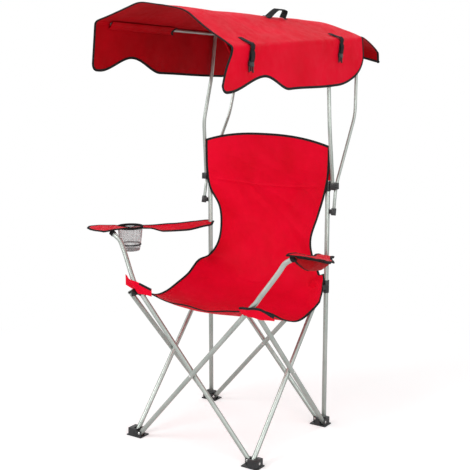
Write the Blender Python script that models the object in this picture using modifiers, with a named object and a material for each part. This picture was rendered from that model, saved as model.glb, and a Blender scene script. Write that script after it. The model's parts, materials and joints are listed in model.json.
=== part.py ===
"""Folding camping chair with a tilting sun canopy, modelled in metres with +Z up.

The chair faces -Y and stands on Z = 0, midway between its front and rear pivots. Four scissor
pairs of straight tubes join four feet, two upright rear posts, two sliding collars and two
corner brackets. Each pair spans the same distance between its pivots, so that the whole frame
folds together. A tilting side frame on each post carries the canopy.
"""
import math

import bpy
import bmesh
from mathutils import Matrix, Vector

# Frame tubes
TUBE_R = 0.008
TUBE_WALL = 0.001
TUBE_END = 0.0055
TUBE_ROUNDNESS = 3
RUN_GAP = 0.0004
FIT_GAP = 0.0003

# Scissor frame
PIVOT_SPAN = 0.428
FOOT_PIN_Z = 0.0145
TOP_PIN_Z = 0.497
FRONT_PLANE_IN = 0.0015
REAR_PLANE_OUT = 0.012

# Rear posts, outside the rear pins
POST_OUT_X = 0.029
POST_OUT_Y = 0.020
POST_TOP_Z = 0.982
PLUG_RISE = 0.005

# Rivets
RIVET_R = 0.0025
RIVET_HEAD_R = 0.0048
RIVET_HEAD_T = 0.0016
RIVET_SLACK = 0.0002
HOLE_SIDES = 8

# Feet
FOOT_HALF = 0.018
FOOT_HALF_LONG = 0.020
FOOT_HEIGHT = 0.027
FOOT_FLOOR = 0.0042
FOOT_FLARE = 0.003
FOOT_FLARE_H = 0.004
FOOT_EDGE = 0.002
FOOT_FRONT_OUT = -0.001
FOOT_REAR_OUT = 0.0105
EAR_T = 0.003
EAR_REACH = 0.0075

# Collars and corner brackets
COLLAR_WALL = 0.002
COLLAR_HALF_H = 0.022
PLATE_T = 0.004
PLATE_HALF_H = 0.0085

# Arm tubes, above the seat corners
SEAT_BEND_Z = 0.535
ARM_LEAN_DEG = 30.0
ARM_BEND_Z = 0.665
ARM_END_LEAN_DEG = 58.0
ARM_END_X = 0.356
BEND_R = 0.045
BEND_STEPS = 3

# Canopy side frames
HUB_Z = 0.844
HUB_HALF_H = 0.017
CANOPY_TUBE_R = 0.0065
BRACE_R = 0.0055
RAIL_R = 0.0055
CANOPY_WALL = 0.0009
SIDE_FRAME_OUT = 0.0185
BRACE_OUT = 0.005
RAIL_CLEAR = 0.0005
RAIL_SADDLE = 0.002
BRACE_HUB_BACK = 0.0135
FRONT_TUBE_LEAN = 0.020
FRONT_TUBE_BEND_Z = 1.043
FRONT_TUBE_TOP_BACK = 0.022
FLAP_PASS_SHARE = 0.5
BRACE_END_Z = 0.758
BRACE_END_FORE = 0.003
BRACE_KNEE_Z = 1.070
BRACE_KNEE_BACK = 0.152
BRACE_TOP_BACK = 0.205
YOKE_WALL = 0.0028
YOKE_DROP = 0.011
BOLT_R = 0.003
BOLT_HEAD_R = 0.0058
BOLT_HEAD_T = 0.003
CAP_R = 0.0085
CAP_HALF_H = 0.012

# Canopy cloth
CLOTH_T = 0.0016
CANOPY_HALF_W = 0.258
RIDGE_HALF_W = 0.094
FOLD_Z = 1.342
RIDGE_RISE_FRONT = 0.080
RIDGE_RISE_REAR = 0.052
TOP_CROWN = 0.004
CANOPY_FRONT_Y = -0.374
CANOPY_BEND_Y = 0.450
CANOPY_BEND_R = 0.220
CANOPY_BEND_DEG = 45.0
REAR_FLAP = 0.014
FRONT_BOW = 0.026
FLAP_END_Y = 0.458
FLAP_DEPTH = 0.142
FLAP_FLARE = 0.008
FLAP_WAVE = 0.040
FLAP_CORNER = 0.075
CANOPY_TWIST_DEG = 2.35
CANOPY_LEFT_DROP = 0.0135

# Carry handle and straps on the canopy
WEB_T = 0.0018
HANDLE_Y = 0.085
HANDLE_LEN = 0.090
HANDLE_RISE = 0.026
HANDLE_W = 0.024
STRAP_W = 0.020
STRAP_LEN = 0.100
BUCKLE_LEN = 0.030
BUCKLE_W = 0.026
BUCKLE_T = 0.006
STRAP_FRONT_Y = -0.300
STRAP_REAR_Y = 0.262

# Seat and back sling
SLING_T = 0.0016
BACK_TOP_Z = 0.976
BACK_ARCH = 0.020

# Armrests, right and left, and what hangs from them
ARM_T = 0.0024
ARM_FRONT_Z = 0.699
ARM_REAR_Z_RIGHT = 0.666
ARM_REAR_Z_LEFT = 0.595
ARM_SAG = 0.010
ARM_FRONT_Y = -0.225
ARM_FRONT_OUT_X = 0.462
ARM_LENGTH = 0.470
CUP_X = 0.378
CUP_Y = -0.062
CUP_TOP_R = 0.043
CUP_BASE_R = 0.032
CUP_DEPTH = 0.082
CUP_WALL = 0.0015
CUP_BASE_T = 0.004
POCKET_LEN = 0.190
POCKET_W = 0.060
POCKET_DEPTH = 0.055
POCKET_Y = -0.056
POCKET_X = 0.365
POCKET_CLEAR = 0.0011

# Sizes that follow from the ones above
HALF_SPAN = PIVOT_SPAN / 2
RISE = TOP_PIN_Z - FOOT_PIN_Z
LEAN = math.atan2(PIVOT_SPAN, RISE)
CROSS_Z = (TOP_PIN_Z + FOOT_PIN_Z) / 2
TUBE_STEP = TUBE_R + RUN_GAP / 2
FRONT_PLANE_Y = FRONT_PLANE_IN - HALF_SPAN
REAR_PLANE_Y = HALF_SPAN + REAR_PLANE_OUT
POST_X = HALF_SPAN + POST_OUT_X
POST_Y = HALF_SPAN + POST_OUT_Y
HOLE_R = RIVET_R + RIVET_SLACK
SIDE_FRAME_X = POST_X + SIDE_FRAME_OUT
RAIL_X = CANOPY_HALF_W - RAIL_R - BRACE_OUT
RAIL_REAR_Y = POST_Y + BRACE_TOP_BACK + RAIL_R
BRACKET_REAR_Y = FRONT_PLANE_Y + TUBE_STEP + TUBE_R + FIT_GAP + PLATE_T * 1.25
WING_TOP_Z = TOP_PIN_Z + PLATE_HALF_H * 1.75
SEAT_Z = TOP_PIN_Z + PLATE_HALF_H * 1.5
SEAT_FRONT_Y = BRACKET_REAR_Y + FIT_GAP + SLING_T / 4
CUT_OVER = 2 * TUBE_R
X_AXIS = Vector((1, 0, 0))
Y_AXIS = Vector((0, 1, 0))
Z_AXIS = Vector((0, 0, 1))

COLOURS = {
    "grey_paint": ((0.30, 0.33, 0.31), 0.38, 0.55),
    "black_plastic": ((0.012, 0.012, 0.013), 0.45, 0.0),
    "bright_steel": ((0.62, 0.62, 0.60), 0.28, 1.0),
    "red_cloth": ((0.62, 0.008, 0.028), 0.80, 0.0),
    "black_web": ((0.014, 0.014, 0.014), 0.85, 0.0),
    "grey_mesh": ((0.42, 0.43, 0.43), 0.60, 0.0),
}


def clear_scene():
    for item in list(bpy.data.objects):
        bpy.data.objects.remove(item, do_unlink=True)
    for old in list(bpy.data.collections):
        bpy.data.collections.remove(old)


def new_collection(name):
    group = bpy.data.collections.new(name)
    bpy.context.scene.collection.children.link(group)
    return group


def painted(obj, finish):
    """Give an object its own plain material in the named finish."""
    colour, roughness, metallic = COLOURS[finish]
    mat = bpy.data.materials.new(obj.name + "_" + finish)
    mat.use_nodes = True
    shader = mat.node_tree.nodes["Principled BSDF"]
    shader.inputs["Base Color"].default_value = (*colour, 1)
    shader.inputs["Roughness"].default_value = roughness
    shader.inputs["Metallic"].default_value = metallic
    mat.diffuse_color = (*colour, 1)
    obj.data.materials.clear()
    obj.data.materials.append(mat)
    return obj


def add_mesh(name, mesh, group):
    obj = bpy.data.objects.new(name, mesh)
    group.objects.link(obj)
    return obj


def hide_guide(obj):
    obj.hide_render = True
    obj.display_type = "WIRE"
    return obj


def cylinder(name, centre, axis, radius, length, group, sides=20):
    mesh = bpy.data.meshes.new(name)
    bm = bmesh.new()
    turn = axis.to_track_quat("Z", "X").to_matrix().to_4x4()
    bmesh.ops.create_cone(bm, cap_ends=True, segments=sides, radius1=radius, radius2=radius,
                          depth=length, matrix=Matrix.Translation(centre) @ turn)
    bm.to_mesh(mesh)
    bm.free()
    return add_mesh(name, mesh, group)


def block(name, low, high, group, edge=0.0):
    """A box between two corners, with its upright edges and top rounded when edge is given."""
    low = Vector(low)
    high = Vector(high)
    mesh = bpy.data.meshes.new(name)
    bm = bmesh.new()
    size = high - low
    place = Matrix.Translation((low + high) / 2) @ Matrix.Diagonal((*size, 1))
    bmesh.ops.create_cube(bm, size=1, matrix=place)
    if edge:
        top = max(v.co.z for v in bm.verts)
        picked = [e for e in bm.edges if max(v.co.z for v in e.verts) == top]
        bmesh.ops.bevel(bm, geom=picked, offset=edge, segments=2, affect="EDGES", profile=0.5)
    bm.to_mesh(mesh)
    bm.free()
    return add_mesh(name, mesh, group)


def boolean(obj, tool, kind):
    change = obj.modifiers.new(kind.lower() + "_" + tool.name, "BOOLEAN")
    change.operation = kind
    change.solver = "EXACT"
    change.object = hide_guide(tool)
    return obj


def round_ends(obj):
    obj.data.shade_smooth()
    obj.data.set_sharp_from_angle(angle=math.radians(40))
    return obj


def bent_path(corners, radius):
    """Points along straight runs between corners, with each inner corner turned on an arc."""
    points = [corners[0]]
    for before, corner, after in zip(corners, corners[1:], corners[2:]):
        back = (before - corner).normalized()
        ahead = (after - corner).normalized()
        half = back.angle(ahead) / 2
        run = min(radius / math.tan(half), (before - corner).length / 2, (after - corner).length / 2)
        swing = run * math.tan(half)
        centre = corner + (back + ahead).normalized() * (swing / math.sin(half))
        start = corner + back * run - centre
        finish = corner + ahead * run - centre
        swing_axis = start.cross(finish).normalized()
        for step in range(BEND_STEPS + 1):
            turn = Matrix.Rotation(start.angle(finish) * step / BEND_STEPS, 3, swing_axis)
            points.append(centre + turn @ start)
    points.append(corners[-1])
    return points


def tube(name, points, radius, wall, group):
    """A hollow tube along points, open at both ends."""
    curve = bpy.data.curves.new(name + "_line", "CURVE")
    curve.dimensions = "3D"
    curve.bevel_depth = radius
    curve.bevel_resolution = TUBE_ROUNDNESS
    curve.use_fill_caps = False
    spline = curve.splines.new("POLY")
    spline.points.add(len(points) - 1)
    for target, point in zip(spline.points, points):
        target.co = (*point, 1)
    line = bpy.data.objects.new(name + "_line", curve)
    group.objects.link(line)
    view = bpy.context.evaluated_depsgraph_get()
    mesh = bpy.data.meshes.new_from_object(line.evaluated_get(view), depsgraph=view)
    obj = add_mesh(name, mesh, group)
    obj.matrix_world = line.matrix_world
    bpy.data.objects.remove(line, do_unlink=True)
    bm = bmesh.new()
    bm.from_mesh(mesh)
    bmesh.ops.remove_doubles(bm, verts=bm.verts, dist=CLOTH_T / 100)
    bmesh.ops.recalc_face_normals(bm, faces=bm.faces)
    axis_point = Vector(points[0])
    first = min(bm.faces, key=lambda f: (f.calc_center_median() - axis_point).length)
    if first.normal.dot(first.calc_center_median() - nearest_on(points, first.calc_center_median())) < 0:
        bmesh.ops.reverse_faces(bm, faces=bm.faces)
    bm.to_mesh(mesh)
    bm.free()
    shell = obj.modifiers.new("wall", "SOLIDIFY")
    shell.thickness = wall
    shell.offset = -1
    return round_ends(obj)


def nearest_on(points, place):
    """The point nearest to a place on the line through points."""
    best = None
    for start, end in zip(points, points[1:]):
        run = end - start
        share = max(0, min(1, (place - start).dot(run) / run.length_squared))
        spot = start + run * share
        if best is None or (spot - place).length < (best - place).length:
            best = spot
    return best


def drill(obj, centre, axis, radius, length):
    corner_r = radius / math.cos(math.pi / HOLE_SIDES)
    hole = cylinder(obj.name + "_hole", centre, axis, corner_r, length, guides, sides=HOLE_SIDES)
    return boolean(obj, hole, "DIFFERENCE")


def shaft_with_heads(name, centre, axis, radius, head_r, head_t, grip, group):
    """A rivet or bolt: a shank of the grip's length with a domed head on each end."""
    half = grip / 2 + FIT_GAP
    profile = [(0, half + head_t), (head_r * 0.65, half + head_t * 0.9), (head_r, half), (radius, half),
               (radius, -half), (head_r, -half), (head_r * 0.65, -half - head_t * 0.9), (0, -half - head_t)]
    return turned(name, profile, centre, axis, group, 12)


def turned(name, profile, centre, axis, group, sides):
    """A solid of revolution from a profile of radius and height, top to bottom."""
    mesh = bpy.data.meshes.new(name)
    ring = profile[0] == profile[-1]
    profile = profile[:-1] if ring else profile
    links = [(i, i + 1) for i in range(len(profile) - 1) if profile[i][0] or profile[i + 1][0]]
    links += [(len(profile) - 1, 0)] if ring else []
    mesh.from_pydata([(r, 0, z) for r, z in profile], links, [])
    obj = add_mesh(name, mesh, group)
    spin = obj.modifiers.new("turn", "SCREW")
    spin.steps = sides
    spin.render_steps = sides
    spin.use_merge_vertices = True
    spin.merge_threshold = 0.00001
    view = bpy.context.evaluated_depsgraph_get()
    solid = bpy.data.meshes.new_from_object(obj.evaluated_get(view), depsgraph=view)
    obj.modifiers.clear()
    turn = axis.to_track_quat("Z", "X").to_matrix().to_4x4()
    solid.transform(Matrix.Translation(centre) @ turn)
    obj.data = solid
    bpy.data.meshes.remove(mesh)
    return round_ends(obj)


# Places of the scissor tubes
def cross_tube_line(start, end):
    """The end points of a straight tube whose pins are at start and end."""
    along = (end - start).normalized() * TUBE_END
    return [start - along, end + along]


def front_y(letter):
    return FRONT_PLANE_Y + (-TUBE_STEP if letter == "a" else TUBE_STEP)


def rear_y(letter):
    return REAR_PLANE_Y + (-TUBE_STEP if letter == "a" else TUBE_STEP)


def side_x(letter):
    """How far out a side tube runs: a starts at the front foot, b at the rear foot."""
    return POST_X + (-TUBE_STEP if letter == "a" else TUBE_STEP)


def lower_side(letter):
    """Which side of the chair a front or rear tube starts from: a right (-1), b left (+1)."""
    return -1 if letter == "a" else 1


def make_rear_tube(letter):
    foot = lower_side(letter)
    low = Vector((foot * HALF_SPAN, rear_y(letter), FOOT_PIN_Z))
    high = Vector((-foot * HALF_SPAN, rear_y(letter), TOP_PIN_Z))
    obj = tube("rear_tube_" + letter, cross_tube_line(low, high), TUBE_R, TUBE_WALL, chair)
    for place in (low, (low + high) / 2, high):
        drill(obj, place, Y_AXIS, HOLE_R, CUT_OVER * 2)
    return painted(obj, "grey_paint")


def make_side_tube(side, letter):
    side_name = "left" if side > 0 else "right"
    x = side * side_x(letter)
    foot_y = -HALF_SPAN if letter == "a" else HALF_SPAN
    low = Vector((x, foot_y, FOOT_PIN_Z))
    high = Vector((x, -foot_y, TOP_PIN_Z))
    obj = tube(side_name + "_side_tube_" + letter, cross_tube_line(low, high), TUBE_R, TUBE_WALL, chair)
    for place in (low, (low + high) / 2, high):
        drill(obj, place, X_AXIS, HOLE_R, CUT_OVER * 2)
    return painted(obj, "grey_paint")


def arm_line(letter):
    """The line of a front tube: from its foot across to the far seat corner and up to the armrest."""
    foot = lower_side(letter)
    y = front_y(letter)
    low = Vector((foot * HALF_SPAN, y, FOOT_PIN_Z))
    top = Vector((-foot * HALF_SPAN, y, TOP_PIN_Z))
    start = cross_tube_line(low, top)[0]
    seat_x = HALF_SPAN + (SEAT_BEND_Z - TOP_PIN_Z) * math.tan(LEAN)
    arm_x = seat_x + (ARM_BEND_Z - SEAT_BEND_Z) * math.tan(math.radians(ARM_LEAN_DEG))
    end_z = ARM_BEND_Z + (ARM_END_X - arm_x) / math.tan(math.radians(ARM_END_LEAN_DEG))
    corners = [start]
    for x, z in ((seat_x, SEAT_BEND_Z), (arm_x, ARM_BEND_Z), (ARM_END_X, end_z)):
        corners.append(Vector((-foot * x, y, z)))
    return low, top, bent_path(corners, BEND_R)


def arm_tube_top():
    """The height of the arm tube's upper side at its end."""
    end = arm_line("a")[2][-1]
    return end.z + TUBE_R


def make_front_tube(letter):
    low, top, line = arm_line(letter)
    obj = tube("front_tube_" + letter, line, TUBE_R, TUBE_WALL, chair)
    for place in (low, (low + top) / 2, top):
        drill(obj, place, Y_AXIS, HOLE_R, CUT_OVER * 2)
    return painted(obj, "grey_paint")


def make_post(side):
    side_name = "left" if side > 0 else "right"
    low = Vector((side * POST_X, POST_Y, FOOT_FLOOR + FIT_GAP))
    high = Vector((side * POST_X, POST_Y, POST_TOP_Z))
    obj = tube(side_name + "_post", [low, high], TUBE_R, TUBE_WALL, chair)
    drill(obj, Vector((side * POST_X, POST_Y, HUB_Z)), X_AXIS, BOLT_R + RIVET_SLACK, CUT_OVER * 2)
    return painted(obj, "grey_paint")


def make_post_plug(side):
    side_name = "left" if side > 0 else "right"
    stem = TUBE_R - TUBE_WALL * 1.5 - FIT_GAP
    base = FIT_GAP
    profile = [(0, PLUG_RISE), (TUBE_R * 0.6, PLUG_RISE * 0.9), (TUBE_R, PLUG_RISE * 0.45), (TUBE_R, base),
               (stem, base), (stem, -CUT_OVER), (0, -CUT_OVER)]
    centre = Vector((side * POST_X, POST_Y, POST_TOP_Z))
    return painted(turned(side_name + "_post_plug", profile, centre, Z_AXIS, chair, 16), "black_plastic")


def make_foot(side, end):
    """A foot with an open socket for its side tube, two ears for its cross tube and, at the
    rear, a socket for the post. side is +1 on the left, end is +1 at the rear."""
    name = ("rear_" if end > 0 else "front_") + ("left" if side > 0 else "right") + "_foot"
    letter = "a" if side < 0 else "b"
    cross_y = rear_y(letter) if end > 0 else front_y(letter)
    socket_x = side_x("b" if end > 0 else "a")
    mid_y = end * (HALF_SPAN + (FOOT_REAR_OUT if end > 0 else FOOT_FRONT_OUT))
    grip = TUBE_R + FIT_GAP
    inner = HALF_SPAN - EAR_REACH
    x_pair = sorted((side * (POST_X - FOOT_HALF), side * (POST_X + FOOT_HALF)))
    low = (x_pair[0], mid_y - FOOT_HALF_LONG, FOOT_FLARE_H / 2)
    obj = block(name, low, (x_pair[1], mid_y + FOOT_HALF_LONG, FOOT_HEIGHT), chair, FOOT_EDGE)
    flare = FOOT_HALF_LONG + FOOT_FLARE
    x_pair = sorted((side * (inner - FOOT_FLARE), side * (POST_X + flare)))
    y_pair = (min(mid_y - flare, cross_y - grip - EAR_T), max(mid_y + flare, cross_y + grip + EAR_T))
    boolean(obj, block(name + "_base", (x_pair[0], y_pair[0], 0), (x_pair[1], y_pair[1], FOOT_FLARE_H),
                       guides, FOOT_EDGE), "UNION")
    x_pair = sorted((side * inner, side * (POST_X - FOOT_HALF + EAR_T)))
    for across in (-1, 1):
        mid = cross_y + across * (grip + EAR_T / 2)
        ear = block(name + "_ear", (x_pair[0], mid - EAR_T / 2, FOOT_FLARE_H / 3),
                    (x_pair[1], mid + EAR_T / 2, FOOT_PIN_Z + EAR_REACH), guides, EAR_T / 4)
        boolean(obj, ear, "UNION")
    reach = math.hypot(TUBE_R, TUBE_END) + FIT_GAP
    y_pair = sorted((end * (HALF_SPAN + reach), end * (HALF_SPAN - FOOT_HALF_LONG - CUT_OVER)))
    x_pair = sorted((side * (socket_x - grip), side * (socket_x + grip)))
    slot = block(name + "_slot", (x_pair[0], y_pair[0], FOOT_FLOOR), (x_pair[1], y_pair[1], FOOT_HEIGHT + CUT_OVER),
                 guides)
    boolean(obj, slot, "DIFFERENCE")
    if end > 0:
        socket = cylinder(name + "_socket", Vector((side * POST_X, POST_Y, FOOT_FLOOR + FOOT_HEIGHT)), Z_AXIS,
                          TUBE_R + FIT_GAP, FOOT_HEIGHT * 2, guides, 32)
        boolean(obj, socket, "DIFFERENCE")
    drill(obj, Vector((side * HALF_SPAN, cross_y, FOOT_PIN_Z)), Y_AXIS, HOLE_R, (grip + EAR_T) * 2 + FOOT_EDGE)
    outer = POST_X + FOOT_HALF
    pin_len = outer - (socket_x - grip) + EAR_T / 2
    side_pin = Vector((side * outer, end * HALF_SPAN, FOOT_PIN_Z))
    drill(obj, side_pin, X_AXIS, HOLE_R, (pin_len + FIT_GAP) * 2)
    painted(obj, "black_plastic")
    ear_rivet = shaft_with_heads(name + "_cross_rivet", Vector((side * HALF_SPAN, cross_y, FOOT_PIN_Z)), Y_AXIS,
                                 RIVET_R, RIVET_HEAD_R, RIVET_HEAD_T, (grip + EAR_T) * 2, chair)
    profile = [(0, RIVET_HEAD_T), (RIVET_HEAD_R * 0.65, RIVET_HEAD_T * 0.9), (RIVET_HEAD_R, FIT_GAP),
               (RIVET_R, FIT_GAP), (RIVET_R, -pin_len), (0, -pin_len)]
    side_rivet = turned(name + "_side_rivet", profile, side_pin, side * X_AXIS, chair, 12)
    painted(ear_rivet, "bright_steel")
    painted(side_rivet, "bright_steel")
    return obj


def make_crossing_rivets():
    grip = TUBE_STEP * 2 + TUBE_R * 2
    places = {
        "front_crossing_rivet": (Vector((0, FRONT_PLANE_Y, CROSS_Z)), Y_AXIS),
        "rear_crossing_rivet": (Vector((0, REAR_PLANE_Y, CROSS_Z)), Y_AXIS),
        "left_crossing_rivet": (Vector((POST_X, 0, CROSS_Z)), X_AXIS),
        "right_crossing_rivet": (Vector((-POST_X, 0, CROSS_Z)), X_AXIS),
    }
    for name, (centre, axis) in places.items():
        rivet = shaft_with_heads(name, centre, axis, RIVET_R, RIVET_HEAD_R, RIVET_HEAD_T, grip, chair)
        painted(rivet, "bright_steel")


def pin_from_plate(obj, start, axis, length):
    """A pin that stands on a plate and ends in a flat head."""
    shank = cylinder(obj.name + "_pin", start + axis * (length / 2), axis, RIVET_R, length, guides, 16)
    head_at = start + axis * (length + RIVET_HEAD_T / 2 - FIT_GAP)
    head = cylinder(obj.name + "_pin_head", head_at, axis, RIVET_HEAD_R, RIVET_HEAD_T, guides, 16)
    boolean(obj, shank, "UNION")
    return boolean(obj, head, "UNION")


def make_collar(side):
    """A collar that slides on a rear post and holds the upper ends of a rear and a side tube."""
    name = ("left" if side > 0 else "right") + "_collar"
    letter = "a" if side > 0 else "b"
    tube_y = rear_y(letter)
    tube_x = side_x("a")
    grip = TUBE_R + FIT_GAP
    outer = TUBE_R + RUN_GAP + COLLAR_WALL
    centre = Vector((side * POST_X, POST_Y, TOP_PIN_Z))
    obj = cylinder(name, centre, Z_AXIS, outer, COLLAR_HALF_H * 2, chair, 32)
    x_pair = sorted((side * (HALF_SPAN - PLATE_HALF_H), side * POST_X))
    cross_plate = block(name + "_cross_plate", (x_pair[0], tube_y + grip, TOP_PIN_Z - PLATE_HALF_H),
                        (x_pair[1], tube_y + grip + PLATE_T, TOP_PIN_Z + PLATE_HALF_H), guides)
    boolean(obj, cross_plate, "UNION")
    x_pair = sorted((side * (tube_x + grip), side * (tube_x + grip + PLATE_T)))
    side_plate = block(name + "_side_plate", (x_pair[0], HALF_SPAN - PLATE_HALF_H, TOP_PIN_Z - PLATE_HALF_H),
                       (x_pair[1], POST_Y, TOP_PIN_Z + PLATE_HALF_H), guides)
    boolean(obj, side_plate, "UNION")
    bore = cylinder(name + "_bore", centre, Z_AXIS, TUBE_R + RUN_GAP, COLLAR_HALF_H * 2 + CUT_OVER, guides, 32)
    boolean(obj, bore, "DIFFERENCE")
    pin = grip * 2 + FIT_GAP + PLATE_T / 2
    pin_from_plate(obj, Vector((side * HALF_SPAN, tube_y + grip + PLATE_T / 2, TOP_PIN_Z)), -Y_AXIS, pin)
    start = Vector((side * (tube_x + grip + PLATE_T / 2), HALF_SPAN, TOP_PIN_Z))
    pin_from_plate(obj, start, -side * X_AXIS, pin)
    return painted(obj, "black_plastic")


def make_corner_bracket(side):
    """An angle bracket behind a seat corner that joins an arm tube to the top of a side tube."""
    name = ("left" if side > 0 else "right") + "_corner_bracket"
    letter = "a" if side > 0 else "b"
    grip = TUBE_R + FIT_GAP
    back_y = front_y(letter) + grip
    side_in = side_x("b") - grip - PLATE_T
    x_pair = sorted((side * (HALF_SPAN - PLATE_HALF_H), side * (side_in + PLATE_T)))
    low_z = TOP_PIN_Z - PLATE_HALF_H
    high_z = TOP_PIN_Z + PLATE_HALF_H
    obj = block(name, (x_pair[0], back_y, low_z), (x_pair[1], back_y + PLATE_T, high_z), chair)
    x_pair = sorted((side * side_in, side * (side_in + PLATE_T)))
    y_low = -HALF_SPAN - PLATE_HALF_H
    wing = block(name + "_wing", (x_pair[0], y_low, low_z), (x_pair[1], BRACKET_REAR_Y, WING_TOP_Z), guides)
    boolean(obj, wing, "UNION")
    pin = grip * 2 + FIT_GAP + PLATE_T / 2
    pin_from_plate(obj, Vector((side * HALF_SPAN, back_y + PLATE_T / 2, TOP_PIN_Z)), -Y_AXIS, pin)
    pin_from_plate(obj, Vector((side * (side_in + PLATE_T / 2), -HALF_SPAN, TOP_PIN_Z)), side * X_AXIS, pin)
    return painted(obj, "black_plastic")


# Canopy side frames, drawn upright and then turned about the hub by the twist
def hub_point(side):
    return Vector((side * SIDE_FRAME_X, POST_Y, HUB_Z))


def twisted(point, share):
    """Turn a point about the hub axis by a share of the canopy's twist."""
    angle = math.radians(CANOPY_TWIST_DEG) * max(-1, min(1, share))
    hub = Vector((0, POST_Y, HUB_Z))
    return hub + Matrix.Rotation(angle, 3, "X") @ (Vector(point) - hub)


def leaning(point, share):
    """Twist a point of the canopy and lower the canopy's left side."""
    return twisted(point, share) - Z_AXIS * (CANOPY_LEFT_DROP * max(-1, min(1, share)))


def panel_height(x, share=0.5):
    """Height of the canopy cloth above its fold line at a distance x from the middle."""
    rise = RIDGE_RISE_FRONT + (RIDGE_RISE_REAR - RIDGE_RISE_FRONT) * share
    out = abs(x)
    if out >= RIDGE_HALF_W:
        return rise * (CANOPY_HALF_W - out) / (CANOPY_HALF_W - RIDGE_HALF_W)
    return rise + TOP_CROWN * (1 - (out / RIDGE_HALF_W) ** 2)


def rail_under_cloth(side, y):
    """The rail's centre below the slanting panel at y, with the twist already in it."""
    panel_x = CANOPY_HALF_W - (CANOPY_HALF_W - RIDGE_HALF_W) / PANEL_COLUMNS
    share = (y - CANOPY_FRONT_Y) / (CANOPY_BEND_Y - CANOPY_FRONT_Y)
    fold = leaning((side * CANOPY_HALF_W, y, FOLD_Z), side)
    panel = leaning((side * panel_x, y, FOLD_Z + panel_height(panel_x, share)), side * panel_x / RAIL_X)
    spot = fold.lerp(panel, (CANOPY_HALF_W - RAIL_X) / (CANOPY_HALF_W - panel_x))
    slope = math.atan2(panel.z - fold.z, CANOPY_HALF_W - panel_x)
    return spot - Z_AXIS * (RAIL_R + RAIL_CLEAR + CLOTH_T / 2) / math.cos(slope)


def rail_ends(side):
    return rail_under_cloth(side, CANOPY_FRONT_Y + FRONT_BOW), rail_under_cloth(side, RAIL_REAR_Y)


def rail_spot(side, y):
    """The place on the rail where the top of an upright at y meets it."""
    front, rear = rail_ends(side)
    upright = leaning((side * RAIL_X, y, FOLD_Z), side)
    return front.lerp(rear, (upright.y - front.y) / (rear.y - front.y)) - Z_AXIS * RAIL_SADDLE


def make_side_rail(side):
    name = ("left" if side > 0 else "right") + "_canopy_rail"
    obj = tube(name, list(rail_ends(side)), RAIL_R, CANOPY_WALL, chair)
    return painted(obj, "grey_paint")


def front_tube_knee(side):
    return twisted(Vector((side * SIDE_FRAME_X, POST_Y - FRONT_TUBE_LEAN, FRONT_TUBE_BEND_Z)), side)


def make_canopy_tube(side):
    """The front tube of a side frame, from the hub to the rail. It comes in below the side flap."""
    name = ("left" if side > 0 else "right") + "_canopy_tube"
    hub = hub_point(side)
    knee = front_tube_knee(side)
    top = rail_spot(side, POST_Y + FRONT_TUBE_TOP_BACK)
    below_flap = knee.lerp(top, FLAP_PASS_SHARE)
    below_flap.x = side * RAIL_X
    start = hub - (knee - hub).normalized() * (BOLT_R * 2)
    obj = tube(name, bent_path([start, knee, below_flap, top], BEND_R * 4), CANOPY_TUBE_R, CANOPY_WALL, chair)
    drill(obj, hub, X_AXIS, BOLT_R + RIVET_SLACK, CUT_OVER * 2)
    return painted(saddled(obj, side), "grey_paint")


def saddled(obj, side):
    """Cut the top end of a tube to the round of the side rail."""
    front, rear = rail_ends(side)
    rail_space = cylinder(obj.name + "_saddle", (front + rear) / 2, (rear - front).normalized(), RAIL_R + FIT_GAP,
                          (rear - front).length + CUT_OVER, guides, 24)
    return boolean(obj, rail_space, "DIFFERENCE")


def brace_line(side):
    x = side * (SIDE_FRAME_X + BRACE_OUT)
    low = Vector((x, POST_Y - BRACE_END_FORE, BRACE_END_Z))
    mid = Vector((x, POST_Y + BRACE_HUB_BACK, HUB_Z))
    knee = Vector((x, POST_Y + BRACE_KNEE_BACK, BRACE_KNEE_Z))
    corners = [twisted(p, side) for p in (low, mid, knee)]
    corners.append(rail_spot(side, POST_Y + BRACE_TOP_BACK))
    return bent_path(corners, BEND_R * 4)


def make_brace(side):
    """The rear brace of a side frame, held in the yoke and ending in a clip beside the post."""
    name = ("left" if side > 0 else "right") + "_canopy_brace"
    obj = tube(name, brace_line(side), BRACE_R, CANOPY_WALL, chair)
    return painted(saddled(obj, side), "grey_paint")


def make_hub(side):
    """The fixed sleeve on the post that carries the canopy's pivot bolt."""
    name = ("left" if side > 0 else "right") + "_hub"
    centre = Vector((side * POST_X, POST_Y, HUB_Z))
    obj = cylinder(name, centre, Z_AXIS, TUBE_R + FIT_GAP + COLLAR_WALL, HUB_HALF_H * 2, chair, 32)
    bore = cylinder(name + "_bore", centre, Z_AXIS, TUBE_R + FIT_GAP, HUB_HALF_H * 2 + CUT_OVER, guides, 32)
    boolean(obj, bore, "DIFFERENCE")
    drill(obj, centre, X_AXIS, BOLT_R + RIVET_SLACK, CUT_OVER * 2)
    return painted(obj, "black_plastic")


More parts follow.
